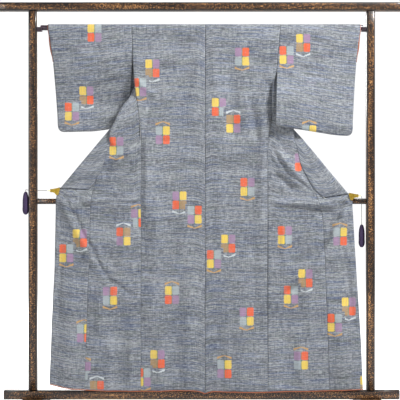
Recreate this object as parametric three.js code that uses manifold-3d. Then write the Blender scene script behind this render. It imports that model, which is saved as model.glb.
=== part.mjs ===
// A lined tsumugi kimono shown from behind on a lacquered kimono stand. Millimetres, +Z up.
// The back faces -Y, the rod runs along X, and both fronts are drawn open by small clips.
import * as THREE from 'three';
import { mergeVertices } from 'three/addons/utils/BufferGeometryUtils.js';
import Module from 'manifold-3d';

const wasm = await Module();
wasm.setup();

// Stand
const TOP_BAR_LENGTH = 1790;
const TOP_BAR_HIGH = 37;
const TOP_BAR_Z = 1711;
const POST_X = 717;
const POST_WIDE = 36;
const MIDDLE_RAIL_Z = 885;
const MIDDLE_RAIL_HIGH = 24;
const LOWER_RAIL_LENGTH = 1680;
const LOWER_RAIL_HIGH = 40;
const LOWER_RAIL_DEEP = 28;
const FOOT_WIDE = 86;
const FOOT_LONG = 420;
const FOOT_HIGH = 43;
const CHAMFER = 5;

// Rod and its hooks
const ROD_RADIUS = 11.5;
const ROD_Z = 1623;
const ROD_LENGTH = 1370;
const HOOK_THICK = 6;
const HOOK_LENGTH = 20;

// Cloth
const CENTRE_X = 14;
const WALL = 2;
const SEAM_GAP = 0.4;
const DRAPE_RADIUS = 14.2;
const NECK_HALF = 90;
const NECK_Z = 1598;
const COLLAR_WALL = 3;
const LINING_WALL = 0.8;
const LINING_SHOWS = 3;
const FUKI_HIGH = 4;
const CUFF_Z = 1473;

// Clips and weights
const JAW_OUTLINE = [[8, -6], [-12, -17], [-18, -13], [-18, 13], [-12, 17], [8, 6]];
const JAW_WALL = 3;
const JAW_OUT = 4.2;
const JAW_TILT = 17;
const RIB_TILTS = [-0.5, 0, 0.5];
const CORD_RADIUS = 1.2;
const WEIGHT_RADIUS = 13;
const WEIGHT_LENGTH = 98;

// Heights down the back and the distance from the centre seam to the side edge ("out").
const BACK_ROWS_Z = [1585, 1540, 1481, 1424, 1332, 1250, 1171, 1080, 990, 925, 885, 845, 760, 660, 550, 440,
  330, 220, 130];

// Soft troughs and ridges in the cloth: a line from one point to another, its width and how far it
// stands towards -Y (a trough is negative). "part" says which panel it lies on.
const FOLDS = {
  left: [
    { part: 'back', out0: 262, z0: 1200, out1: 250, z1: 820, wide: 30, high: 6 },
    { part: 'back', out0: 205, z0: 900, out1: 228, z1: 330, wide: 34, high: 6 },
    { part: 'back', out0: 120, z0: 420, out1: 140, z1: 60, wide: 42, high: -5 },
    { part: 'back', out0: 60, z0: 620, out1: 70, z1: 60, wide: 30, high: 4 },
    { part: 'front', out0: 292, z0: 1150, out1: 402, z1: 984, wide: 22, high: 7 },
    { part: 'front', out0: 402, z0: 984, out1: 590, z1: 930, wide: 18, high: 6 },
    { part: 'front', out0: 280, z0: 884, out1: 500, z1: 882, wide: 22, high: 7 },
    { part: 'front', out0: 610, z0: 900, out1: 500, z1: 700, wide: 30, high: 7 },
    { part: 'front', out0: 500, z0: 700, out1: 400, z1: 540, wide: 36, high: 6 },
    { part: 'front', out0: 560, z0: 520, out1: 590, z1: 90, wide: 38, high: 5 },
    { part: 'front', out0: 360, z0: 420, out1: 372, z1: 90, wide: 42, high: -4 },
  ],
  right: [
    { part: 'back', out0: 250, z0: 1260, out1: 244, z1: 780, wide: 32, high: 6 },
    { part: 'back', out0: 110, z0: 1500, out1: 118, z1: 1120, wide: 34, high: -5 },
    { part: 'back', out0: 150, z0: 520, out1: 160, z1: 60, wide: 44, high: 5 },
    { part: 'front', out0: 286, z0: 1120, out1: 388, z1: 976, wide: 22, high: 8 },
    { part: 'front', out0: 388, z0: 976, out1: 560, z1: 905, wide: 20, high: 7 },
    { part: 'front', out0: 300, z0: 876, out1: 560, z1: 870, wide: 20, high: 7 },
    { part: 'front', out0: 592, z0: 840, out1: 500, z1: 660, wide: 28, high: 7 },
    { part: 'front', out0: 500, z0: 660, out1: 390, z1: 520, wide: 36, high: 6 },
    { part: 'front', out0: 560, z0: 460, out1: 590, z1: 90, wide: 38, high: 5 },
    { part: 'front', out0: 340, z0: 400, out1: 350, z1: 90, wide: 42, high: -4 },
  ],
};

// The collar from the back of the neck to its end: both long edges, the free one and the sewn one.
const COLLAR = {
  left: [
    { freeOut: 0, freeY: 19, freeZ: 1543, sewnOut: 0, sewnY: 16, sewnZ: 1597 },
    { freeOut: 50, freeY: 19, freeZ: 1543, sewnOut: 72, sewnY: 16, sewnZ: 1597 },
    { freeOut: 78, freeY: 20, freeZ: 1520, sewnOut: 112, sewnY: 17, sewnZ: 1571 },
    { freeOut: 150, freeY: 21, freeZ: 1434, sewnOut: 192, sewnY: 18, sewnZ: 1474 },
    { freeOut: 208, freeY: 22, freeZ: 1366, sewnOut: 250, sewnY: 18, sewnZ: 1404 },
    { freeOut: 248, freeY: 24, freeZ: 1322, sewnOut: 286, sewnY: 18, sewnZ: 1358 },
    { freeOut: 288, freeY: 28, freeZ: 1276, sewnOut: 318, sewnY: 8, sewnZ: 1308 },
    { freeOut: 334, freeY: 27, freeZ: 1250, sewnOut: 336, sewnY: -2, sewnZ: 1258 },
    { freeOut: 372, freeY: 18, freeZ: 1229, sewnOut: 350, sewnY: -9, sewnZ: 1210 },
    { freeOut: 401, freeY: 3, freeZ: 1196, sewnOut: 374, sewnY: -12, sewnZ: 1165 },
    { freeOut: 442, freeY: -10, freeZ: 1146, sewnOut: 410, sewnY: -14, sewnZ: 1112 },
    { freeOut: 489, freeY: -15, freeZ: 1089, sewnOut: 430, sewnY: -17, sewnZ: 1045 },
    { freeOut: 544, freeY: -18, freeZ: 1023, sewnOut: 457, sewnY: -18, sewnZ: 985 },
    { freeOut: 584, freeY: -19, freeZ: 974, sewnOut: 473, sewnY: -19, sewnZ: 956 },
    { freeOut: 612, freeY: -19, freeZ: 941, sewnOut: 495, sewnY: -19, sewnZ: 936 },
  ],
  right: [
    { freeOut: 0, freeY: 19, freeZ: 1543, sewnOut: 0, sewnY: 16, sewnZ: 1597 },
    { freeOut: 46, freeY: 19, freeZ: 1543, sewnOut: 72, sewnY: 16, sewnZ: 1597 },
    { freeOut: 70, freeY: 20, freeZ: 1518, sewnOut: 108, sewnY: 17, sewnZ: 1570 },
    { freeOut: 136, freeY: 21, freeZ: 1432, sewnOut: 180, sewnY: 18, sewnZ: 1470 },
    { freeOut: 190, freeY: 22, freeZ: 1364, sewnOut: 234, sewnY: 18, sewnZ: 1400 },
    { freeOut: 230, freeY: 24, freeZ: 1318, sewnOut: 272, sewnY: 18, sewnZ: 1354 },
    { freeOut: 268, freeY: 28, freeZ: 1272, sewnOut: 304, sewnY: 8, sewnZ: 1304 },
    { freeOut: 312, freeY: 27, freeZ: 1246, sewnOut: 322, sewnY: -2, sewnZ: 1256 },
    { freeOut: 348, freeY: 18, freeZ: 1226, sewnOut: 338, sewnY: -9, sewnZ: 1210 },
    { freeOut: 377, freeY: 3, freeZ: 1191, sewnOut: 368, sewnY: -12, sewnZ: 1168 },
    { freeOut: 420, freeY: -10, freeZ: 1142, sewnOut: 388, sewnY: -14, sewnZ: 1115 },
    { freeOut: 470, freeY: -15, freeZ: 1082, sewnOut: 408, sewnY: -17, sewnZ: 1031 },
    { freeOut: 530, freeY: -18, freeZ: 1008, sewnOut: 430, sewnY: -18, sewnZ: 986 },
    { freeOut: 572, freeY: -19, freeZ: 958, sewnOut: 458, sewnY: -19, sewnZ: 940 },
    { freeOut: 606, freeY: -19, freeZ: 918, sewnOut: 497, sewnY: -19, sewnZ: 900 },
  ],
};

// The front panel's upper rows, down to where it lies flat. "sideZ" and "sideY" place its side
// edge, "past" and "foldY" the soft edge where it turns over (past the side edge), "foldZ" that
// edge's height, "tuck" how far the cloth turns back behind it, "sewnZ" its collar seam's height
// and "gather" the depth of the gathers.
const UPPER_FRONT = [
  { sideZ: 1560, sideY: 15, past: 0, foldY: 15, foldZ: 1560, tuck: 0, sewnZ: 1557, gather: 2 },
  { sideZ: 1500, sideY: 14, past: 0, foldY: 16, foldZ: 1501, tuck: 0, sewnZ: 1500, gather: 4 },
  { sideZ: 1440, sideY: 12, past: 0, foldY: 15, foldZ: 1442, tuck: 0, sewnZ: 1444, gather: 6 },
  { sideZ: 1390, sideY: 8, past: 0, foldY: 13, foldZ: 1394, tuck: 0, sewnZ: 1399, gather: 5 },
  { sideZ: 1352, sideY: 0, past: 14, foldY: 8, foldZ: 1356, tuck: 2, sewnZ: 1364, gather: 0 },
  { sideZ: 1324, sideY: -12, past: 30, foldY: -6, foldZ: 1326, tuck: 6, sewnZ: 1332, gather: 0 },
  { sideZ: 1296, sideY: -16, past: 58, foldY: -16, foldZ: 1294, tuck: 8, sewnZ: 1296, gather: 0 },
  { sideZ: 1262, sideY: -17, past: 84, foldY: -21, foldZ: 1258, tuck: 8, sewnZ: 1254, gather: 0 },
  { sideZ: 1228, sideY: -17, past: 104, foldY: -22, foldZ: 1222, tuck: 8, sewnZ: 1210, gather: 0 },
  { sideZ: 1192, sideY: -17, past: 126, foldY: -23, foldZ: 1184, tuck: 7, sewnZ: 1170, gather: 0 },
  { sideZ: 1150, sideY: -17, past: 131, foldY: -21, foldZ: 1141, tuck: 4, sewnZ: 1134, gather: 0 },
];
const LOWER_FRONT_Z = [1100, 1050, 1010, 975, 940, 912, 890, 870, 840, 780, 700, 610, 500, 380, 260, 160, 85];
const FOLD_REACH = { left: 1, right: 0.8 };

// Edges, each as a distance out from the centre seam at a height.
const BACK_EDGE = {
  left: [{ z: 1640, out: 312 }, { z: 1481, out: 306 }, { z: 1424, out: 302 }, { z: 1332, out: 292 },
    { z: 1250, out: 281 }, { z: 1171, out: 272 }, { z: 60, out: 272 }],
  right: [{ z: 1640, out: 320 }, { z: 1473, out: 306 }, { z: 1390, out: 299 }, { z: 1323, out: 298 },
    { z: 1250, out: 285 }, { z: 1128, out: 265 }, { z: 60, out: 265 }],
};
const OKUMI_SEAM = {
  left: [{ z: 985, out: 457 }, { z: 912, out: 480 }, { z: 870, out: 485 }, { z: 610, out: 492 }, { z: 60, out: 512 }],
  right: [{ z: 986, out: 430 }, { z: 940, out: 449 }, { z: 890, out: 477 }, { z: 840, out: 492 },
    { z: 780, out: 500 }, { z: 500, out: 512 }, { z: 60, out: 527 }],
};
const FRONT_EDGE = {
  left: [{ z: 930, out: 626 }, { z: 885, out: 631 }, { z: 600, out: 637 }, { z: 380, out: 648 }, { z: 60, out: 658 }],
  right: [{ z: 930, out: 622 }, { z: 870, out: 624 }, { z: 600, out: 640 }, { z: 300, out: 660 }, { z: 60, out: 669 }],
};
const HEM = {
  left: [{ out: 0, z: 74 }, { out: 24, z: 83 }, { out: 60, z: 87 }, { out: 180, z: 84 }, { out: 400, z: 84 },
    { out: 480, z: 88 }, { out: 560, z: 94 }, { out: 610, z: 103 }, { out: 660, z: 115 }],
  right: [{ out: 0, z: 74 }, { out: 30, z: 82 }, { out: 120, z: 81 }, { out: 220, z: 79 }, { out: 450, z: 84 },
    { out: 570, z: 88 }, { out: 670, z: 92 }],
};

// Sleeves: the sewn and free inner edge, the outer edge with the cuff in it, and the lower edge.
const SLEEVE_INNER = {
  left: [{ z: 1640, out: 312 }, { z: 1481, out: 306 }, { z: 1400, out: 315 }, { z: 1180, out: 330 }],
  right: [{ z: 1640, out: 320 }, { z: 1473, out: 306 }, { z: 1323, out: 299 }, { z: 1180, out: 296 }],
};
const SLEEVE_OUTER = {
  left: [{ z: 1640, out: 668 }, { z: 1613, out: 664 }, { z: 1460, out: 642 }, { z: 1294, out: 630 },
    { z: 1170, out: 622 }],
  right: [{ z: 1640, out: 661 }, { z: 1570, out: 652 }, { z: 1477, out: 642 }, { z: 1379, out: 633 },
    { z: 1273, out: 627 }, { z: 1160, out: 622 }],
};
const SLEEVE_BOTTOM = {
  left: [{ out: 320, z: 1207 }, { out: 400, z: 1196 }, { out: 484, z: 1185 }, { out: 622, z: 1181 }],
  right: [{ out: 290, z: 1203 }, { out: 378, z: 1192 }, { out: 446, z: 1183 }, { out: 574, z: 1165 }, { out: 622, z: 1163 }],
};
const SLEEVE_SWING = { left: { inner: 46, outer: 12 }, right: { inner: -47, outer: -12 } };
const SLEEVE_CORNER = 21;
const SLEEVE_DEPTH = [{ z: 1623, half: 15.2 }, { z: 1480, half: 12 }, { z: 1380, half: 9.5 }, { z: 1150, half: 8.5 }];

const SIDES = { left: -1, right: 1 };
const OVER_ROD = [0, 30, 60, 90, 120, 150, 180];

// Tables and points

const lerp = (a, b, share) => a + (b - a) * share;

function smooth(share) {
  const held = Math.min(Math.max(share, 0), 1);
  return held * held * (3 - 2 * held);
}

function lookUp(table, key, value, column) {
  const rows = [...table].sort((a, b) => a[key] - b[key]);
  const above = rows.findIndex((row) => row[key] >= value);
  if (above === 0) return rows[0][column];
  if (above < 0) return rows[rows.length - 1][column];
  const low = rows[above - 1];
  const high = rows[above];
  return lerp(low[column], high[column], (value - low[key]) / (high[key] - low[key]));
}

const place = (side, out, y, z) => new THREE.Vector3(CENTRE_X + SIDES[side] * out, y, z);

// How far the cloth stands towards -Y at a place: the sum of its folds.
function relief(side, part, out, z) {
  let sum = 0;
  for (const fold of FOLDS[side].filter((row) => row.part === part)) {
    const along = new THREE.Vector2(fold.out1 - fold.out0, fold.z1 - fold.z0);
    const from = new THREE.Vector2(out - fold.out0, z - fold.z0);
    const share = from.dot(along) / along.lengthSq();
    const away = Math.abs(from.cross(along)) / along.length();
    const ends = smooth((share + 0.15) / 0.3) * smooth((1.15 - share) / 0.3);
    sum += fold.high * ends * Math.exp(-((away / fold.wide) ** 2));
  }
  return sum;
}

// Lets the lowest rows follow the hem's line.
function withHem(side, out, z) {
  const low = smooth((330 - z) / 245);
  return z + (lookUp(HEM[side], 'out', out, 'z') - 85) * low;
}

const backDepth = (z) => -lerp(DRAPE_RADIUS, 17, smooth((ROD_Z - z) / 500)) - 5 * smooth((700 - z) / 600);

// Closed shapes

// The mesh between two grids of points, with sides all round; present(row, column) says which
// cells it has.
function between(near, far, present = () => true) {
  const rows = near.length;
  const columns = near[0].length;
  const positions = [...near.flat(), ...far.flat()].flatMap((point) => point.toArray());
  const index = [];
  const at = (layer, row, column) => layer * rows * columns + row * columns + column;
  const has = (row, column) => row >= 0 && column >= 0 && row < rows - 1 && column < columns - 1
    && present(row, column);
  const quad = (a, b, c, d) => index.push(a, b, c, a, c, d);
  for (let row = 0; row < rows - 1; row += 1) {
    for (let column = 0; column < columns - 1; column += 1) {
      if (!has(row, column)) continue;
      const corners = [[row, column], [row, column + 1], [row + 1, column + 1], [row + 1, column]];
      quad(...corners.map(([i, j]) => at(0, i, j)));
      quad(...corners.map(([i, j]) => at(1, i, j)).reverse());
      const beside = [[row - 1, column], [row, column + 1], [row + 1, column], [row, column - 1]];
      beside.forEach(([i, j], edge) => {
        if (has(i, j)) return;
        const start = corners[edge];
        const end = corners[(edge + 1) % 4];
        quad(at(0, ...end), at(0, ...start), at(1, ...start), at(1, ...end));
      });
    }
  }
  return closed(positions, index);
}

function closed(positions, index) {
  const loose = new THREE.BufferGeometry();
  loose.setAttribute('position', new THREE.Float32BufferAttribute(positions, 3));
  loose.setIndex(index);
  const used = loose.toNonIndexed();
  const geometry = mergeVertices(used, 1e-4);
  if (volumeOf(geometry) < 0) geometry.index.array.reverse();
  return geometry;
}

function volumeOf(geometry) {
  const points = geometry.attributes.position;
  const corners = [0, 1, 2].map(() => new THREE.Vector3());
  let six = 0;
  for (let i = 0; i < geometry.index.count; i += 3) {
    corners.forEach((corner, k) => corner.fromBufferAttribute(points, geometry.index.getX(i + k)));
    six += corners[0].dot(corners[1].clone().cross(corners[2]));
  }
  return six;
}

function normals(grid, present = () => true) {
  const cell = (i, j) => i >= 0 && j >= 0 && i < grid.length - 1 && j < grid[0].length - 1 && present(i, j);
  return grid.map((row, i) => row.map((point, j) => {
    const sum = new THREE.Vector3();
    for (const [di, dj] of [[0, 0], [-1, 0], [0, -1], [-1, -1]]) {
      if (!cell(i + di, j + dj)) continue;
      const a = grid[i + di][j + dj];
      const b = grid[i + di + 1][j + dj + 1];
      const c = grid[i + di][j + dj + 1];
      const d = grid[i + di + 1][j + dj];
      sum.add(new THREE.Vector3().subVectors(b, a).cross(new THREE.Vector3().subVectors(d, c)));
    }
    return sum.lengthSq() > 0 ? sum.normalize() : sum;
  }));
}

const moved = (grid, directions, distance) => grid.map((row, i) => row.map((point, j) =>
  point.clone().addScaledVector(directions[i][j], distance)));

// A cloth wall of even thickness on a grid of points.
function wall(grid, thickness, present) {
  const directions = normals(grid, present);
  return between(moved(grid, directions, thickness / 2), moved(grid, directions, -thickness / 2), present);
}

function solid(geometry) {
  const plain = new THREE.BufferGeometry();
  plain.setAttribute('position', geometry.attributes.position);
  if (geometry.index) plain.setIndex(geometry.index);
  const merged = mergeVertices(plain, 1e-4);
  const mesh = new wasm.Mesh({
    numProp: 3,
    vertProperties: new Float32Array(merged.attributes.position.array),
    triVerts: new Uint32Array(merged.index.array),
  });
  return new wasm.Manifold(mesh);
}

function geometryOf(body) {
  const mesh = body.getMesh();
  const geometry = new THREE.BufferGeometry();
  geometry.setAttribute('position', new THREE.BufferAttribute(new Float32Array(mesh.vertProperties), 3));
  geometry.setIndex(new THREE.BufferAttribute(new Uint32Array(mesh.triVerts), 1));
  return geometry;
}

// Body panels, each one length of cloth from the back hem over the rod to the front hem

const NECK_COLUMNS = 3;
const SIDE_COLUMN = 13;

function backOuts(side, z) {
  const edge = lookUp(BACK_EDGE[side], 'z', z, 'out');
  const outs = [];
  for (let j = 0; j <= SIDE_COLUMN; j += 1) {
    if (j <= NECK_COLUMNS) outs.push(lerp(SEAM_GAP / 2, NECK_HALF, j / NECK_COLUMNS));
    else outs.push(lerp(NECK_HALF, edge, (j - NECK_COLUMNS) / (SIDE_COLUMN - NECK_COLUMNS)));
  }
  return outs;
}

function backRow(side, nominalZ) {
  return backOuts(side, nominalZ).map((out) => {
    const z = withHem(side, out, nominalZ);
    return place(side, out, backDepth(z) - relief(side, 'back', out, z), z);
  });
}

function rodRow(side, degrees) {
  const angle = THREE.MathUtils.degToRad(degrees);
  const y = -DRAPE_RADIUS * Math.cos(angle);
  const z = ROD_Z + DRAPE_RADIUS * Math.sin(angle);
  return backOuts(side, ROD_Z).map((out) => place(side, out, y, z));
}

// The front panel's sewn edge: the collar's down to the okumi's tip, then the okumi's.
function sewnEdge(side, z) {
  const collar = COLLAR[side];
  const tip = collar[collar.length - 3];
  if (z < tip.sewnZ) {
    const y = lookUp([{ z: tip.sewnZ, y: tip.sewnY }, { z: 870, y: -18.5 }, { z: 60, y: -23 }], 'z', z, 'y');
    return place(side, lookUp(OKUMI_SEAM[side], 'z', z, 'out') - SEAM_GAP / 2, y, z);
  }
  const rows = collar.slice(1);
  return place(side, lookUp(rows, 'sewnZ', z, 'sewnOut'), lookUp(rows, 'sewnZ', z, 'sewnY'), z);
}

function frontRow(side, row) {
  const edgeOut = lookUp(BACK_EDGE[side], 'z', row.sideZ, 'out') + (row.sideY < -11 ? SEAM_GAP : 0);
  const sideEnd = place(side, edgeOut, row.sideY, row.sideZ);
  const sewnEnd = sewnEdge(side, row.sewnZ);
  let turn = [0.72, 0.78, 0.85].map((share) => sideEnd.clone().lerp(sewnEnd, share));
  if (row.tuck > 0) {
    const out = edgeOut + row.past * FOLD_REACH[side];
    const back = row.tuck * 0.7;
    turn = [
      place(side, out - back, row.foldY, row.foldZ),
      place(side, out, row.foldY + row.tuck / 2, row.foldZ),
      place(side, out - back, row.foldY + row.tuck, row.foldZ),
    ];
  }
  const [near, fold, far] = turn;
  const gapped = sewnEnd.clone().add(far.clone().sub(sewnEnd).setLength(row.tuck > 0 ? 3 : 1.2));
  const points = [gapped, gapped.clone().lerp(far, 0.5), far, fold, near];
  for (let k = 1; k <= 6; k += 1) points.push(near.clone().lerp(sideEnd, k / 6));
  points.forEach((point, k) => {
    point.y += row.gather * Math.sin((k / 10) * Math.PI * 4) * Math.sin((k / 10) * Math.PI);
  });
  return points;
}

function lowerFrontRow(side, z) {
  const sideY = lerp(-17, -22, smooth((900 - z) / 800));
  const points = frontRow(side, { sideZ: z, sideY, tuck: 0, sewnZ: z, gather: 0 });
  return points.map((point) => {
    const out = (point.x - CENTRE_X) * SIDES[side];
    const low = withHem(side, out, point.z);
    return place(side, out, point.y - relief(side, 'front', out, point.z) * smooth((1130 - z) / 60), low);
  });
}

function bodyGrid(side) {
  const rows = [backRow(side, 85)];
  [...BACK_ROWS_Z].reverse().forEach((z) => rows.push(backRow(side, z)));
  OVER_ROD.forEach((degrees) => rows.push(rodRow(side, degrees)));
  const neckRow = rows.length;
  rows.push(backOuts(side, NECK_Z).map((out) => place(side, out, DRAPE_RADIUS, NECK_Z)));
  const fronts = [
    ...UPPER_FRONT.map((row) => frontRow(side, row)),
    ...LOWER_FRONT_Z.map((z) => lowerFrontRow(side, z)),
  ];
  fronts.forEach((points) => {
    const pad = Array.from({ length: NECK_COLUMNS }, () => points[0].clone());
    rows.push([...pad, ...points]);
  });
  return { rows, present: (row, column) => row < neckRow || column >= NECK_COLUMNS };
}

// The body stops short of the collar all along their seam.
function body(side) {
  const { rows, present } = bodyGrid(side);
  const clearance = wall(collarGrid(COLLAR.left.length, 0.006), COLLAR_WALL + 2 * SEAM_GAP);
  return geometryOf(solid(wall(rows, WALL, present)).subtract(solid(clearance)));
}

// The overlap panel sewn to the front, from the collar's end down to the hem
const OKUMI_COLUMNS = 6;
const OKUMI_ROWS_Z = [905, 890, 870, 840, 780, 700, 610, 500, 380, 260, 160, 85];

function okumiGrid(side) {
  const ends = COLLAR[side].slice(-3);
  const last = ends[2];
  const top = ends.map((row) => place(side, row.sewnOut + 0.2, row.sewnY, row.sewnZ - 1.4));
  for (let k = 1; k <= OKUMI_COLUMNS - 2; k += 1) {
    const share = k / (OKUMI_COLUMNS - 2);
    const out = lerp(last.sewnOut, last.freeOut + 8, share);
    top.push(place(side, out, last.sewnY, lerp(last.sewnZ, last.freeZ, share) - 2));
  }
  const rows = OKUMI_ROWS_Z.filter((z) => z < last.sewnZ - 4).map((nominalZ) => {
    const seam = lookUp(OKUMI_SEAM[side], 'z', nominalZ, 'out') + SEAM_GAP / 2;
    const edge = lookUp(FRONT_EDGE[side], 'z', nominalZ, 'out');
    return Array.from({ length: OKUMI_COLUMNS + 1 }, (_, j) => {
      const out = lerp(seam, edge, j / OKUMI_COLUMNS);
      const y = lerp(-18.5, -23, smooth((870 - nominalZ) / 810));
      const z = withHem(side, out, nominalZ);
      return place(side, out, y - relief(side, 'front', out, nominalZ), z);
    });
  });
  return [top, ...rows];
}

// Collar: one band from the left front's end round the neck to the right front's end
const COLLAR_COLUMNS = 3;
const NECK_STATIONS = 5;

function collarGrid(stations, spread = 0) {
  const edge = (side, row, name) => place(side, row[`${name}Out`], row[`${name}Y`], row[`${name}Z`]);
  const order = [
    ...COLLAR.left.slice(1, stations).reverse().map((row) => ['left', row]),
    ...COLLAR.right.slice(0, stations).map((row) => ['right', row]),
  ];
  return order.map(([side, row]) => {
    const free = edge(side, row, 'free');
    const sewn = edge(side, row, 'sewn');
    return Array.from({ length: COLLAR_COLUMNS + 1 }, (_, j) =>
      free.clone().lerp(sewn, lerp(-spread, 1 + spread, j / COLLAR_COLUMNS)));
  });
}

function collar() {
  return wall(collarGrid(COLLAR.left.length), COLLAR_WALL);
}

function overCollar() {
  const grid = collarGrid(NECK_STATIONS);
  const directions = normals(grid);
  const rearward = Math.sign(directions[NECK_STATIONS - 1][1].y);
  return wall(moved(grid, directions, rearward * (COLLAR_WALL / 2 + 0.3 + 0.6)), 1.2);
}

// Sleeves

const SLEEVE_COLUMNS = 9;
const SLEEVE_HEIGHTS = [0, 5, 12, 21, 60, 110, 170, 230, 290];

function swing(side, out, z) {
  const inner = lookUp(SLEEVE_INNER[side], 'z', z, 'out');
  const outer = lookUp(SLEEVE_OUTER[side], 'z', z, 'out');
  const across = Math.min(Math.max((out - inner) / (outer - inner), 0), 1);
  const { inner: innerY, outer: outerY } = SLEEVE_SWING[side];
  return lerp(innerY, outerY, across) * smooth((1470 - z) / 150);
}

// A block in the sleeve's outline: "inset" draws it in from the sewn edges, the two reaches move
// its ends along X, and "low" cuts it off at a height.
function sleeveBlock(side, { inset, innerReach, outerReach, low }) {
  const depth = (z) => lookUp(SLEEVE_DEPTH, 'z', z, 'half');
  const heights = low ? [low, 1500, 1560] : [...SLEEVE_HEIGHTS.map((h) => h + inset), 340, 400];
  const corner = SLEEVE_CORNER - inset;
  const rowAt = (height, angle) => {
    const near = [];
    const far = [];
    for (let j = 0; j <= SLEEVE_COLUMNS; j += 1) {
      const share = j / SLEEVE_COLUMNS;
      const guess = lerp(lookUp(SLEEVE_INNER[side], 'z', 1300, 'out'), lookUp(SLEEVE_OUTER[side], 'z', 1300, 'out'), share);
      let z = low ? height : lookUp(SLEEVE_BOTTOM[side], 'out', guess, 'z') + height;
      if (angle !== undefined) z = ROD_Z;
      const over = height - inset;
      const rounded = !low && over < corner ? corner - Math.sqrt(corner ** 2 - (corner - over) ** 2) : 0;
      const inner = lookUp(SLEEVE_INNER[side], 'z', z, 'out') + SEAM_GAP - innerReach;
      const outer = lookUp(SLEEVE_OUTER[side], 'z', z, 'out') + outerReach - rounded;
      const out = lerp(inner, outer, share);
      const closedEdge = Math.min(1, 0.42 + (1 - share) * SLEEVE_COLUMNS * 0.4);
      const closedFoot = Math.min(1, 0.42 + over / 14);
      const squeeze = low || z > CUFF_Z ? 1 : Math.min(closedEdge, closedFoot);
      const radians = THREE.MathUtils.degToRad(angle ?? 0);
      const half = Math.max(depth(z) * squeeze - inset, 0.8) * Math.cos(radians);
      const top = angle === undefined ? z : ROD_Z + (depth(ROD_Z) - inset) * Math.sin(radians);
      const middle = swing(side, out, z);
      near.push(place(side, out, middle - half, top));
      far.push(place(side, out, middle + half, top));
    }
    return [near, far];
  };
  const rows = [...heights.map((height) => rowAt(height)), ...[0, 30, 60, 80].map((angle) => rowAt(450, angle))];
  return solid(between(rows.map(([near]) => near), rows.map(([, far]) => far)));
}

function sleeve(side) {
  const whole = sleeveBlock(side, { inset: 0, innerReach: 0, outerReach: 0 });
  const hollow = sleeveBlock(side, { inset: WALL, innerReach: 20, outerReach: -WALL });
  const cuff = sleeveBlock(side, { inset: WALL, innerReach: -200, outerReach: 20, low: CUFF_Z });
  return geometryOf(whole.subtract(hollow).subtract(cuff));
}

function cuffLining(side) {
  const inside = (z) => lookUp(SLEEVE_DEPTH, 'z', z, 'half') - WALL - 0.35 - LINING_WALL / 2;
  const across = (y, z, level) => [-26, -12, LINING_SHOWS].map((reach) =>
    place(side, lookUp(SLEEVE_OUTER[side], 'z', level, 'out') + reach, y, z));
  const rising = [CUFF_Z + 4, 1500, 1560].map((z) => across(-inside(z), z, z));
  const over = OVER_ROD.map((degrees) => {
    const angle = THREE.MathUtils.degToRad(degrees);
    const radius = inside(ROD_Z);
    return across(-radius * Math.cos(angle), ROD_Z + radius * Math.sin(angle), ROD_Z);
  });
  const falling = [1560, 1500, CUFF_Z + 4].map((z) => across(inside(z), z, z));
  return wall([...rising, ...over, ...falling], LINING_WALL);
}

// The rolled lining edge under a panel's hem
function hemLining(points) {
  const lowered = (drop) => points.map((point) => point.clone().setZ(point.z - drop));
  return wall([lowered(SEAM_GAP), lowered(SEAM_GAP + FUKI_HIGH)], WALL + 1);
}

// Stand

function bar(length, wide, deep) {
  const shape = new THREE.Shape();
  const halfWide = wide / 2;
  const halfDeep = deep / 2;
  const cut = Math.min(CHAMFER, halfWide * 0.6, halfDeep * 0.6);
  const points = [
    [halfWide, halfDeep - cut], [halfWide - cut, halfDeep], [cut - halfWide, halfDeep], [-halfWide, halfDeep - cut],
    [-halfWide, cut - halfDeep], [cut - halfWide, -halfDeep], [halfWide - cut, -halfDeep], [halfWide, cut - halfDeep],
  ];
  shape.setFromPoints(points.map(([x, y]) => new THREE.Vector2(x, y)));
  return new THREE.ExtrudeGeometry(shape, { depth: length, bevelEnabled: false }).translate(0, 0, -length / 2);
}

const alongX = (geometry) => geometry.rotateY(Math.PI / 2);

function foot() {
  const shape = new THREE.Shape();
  const half = FOOT_LONG / 2;
  shape.moveTo(-half, 0);
  shape.lineTo(half, 0);
  shape.lineTo(half, 20);
  shape.quadraticCurveTo(half - 4, 34, half - 40, 38);
  shape.lineTo(70, FOOT_HIGH);
  shape.lineTo(-70, FOOT_HIGH);
  shape.lineTo(40 - half, 38);
  shape.quadraticCurveTo(4 - half, 34, -half, 20);
  const geometry = new THREE.ExtrudeGeometry(shape, { depth: FOOT_WIDE, bevelEnabled: false, curveSegments: 5 });
  geometry.translate(0, 0, -FOOT_WIDE / 2);
  return geometry.rotateX(Math.PI / 2).rotateZ(Math.PI / 2);
}

// A cradle from the post's inner face that holds the rod's end
function rodHook() {
  const inner = ROD_RADIUS + 0.4;
  const outer = inner + HOOK_THICK;
  const shape = new THREE.Shape();
  shape.absarc(0, 0, outer, Math.PI, 2 * Math.PI, false);
  shape.absarc(0, 0, inner, 2 * Math.PI, Math.PI, true);
  const geometry = new THREE.ExtrudeGeometry(shape, { depth: HOOK_LENGTH, bevelEnabled: false, curveSegments: 10 });
  geometry.translate(0, 0, -HOOK_LENGTH / 2);
  return geometry.rotateX(Math.PI / 2).rotateZ(Math.PI / 2);
}

// Clips, cords and weights

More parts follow.
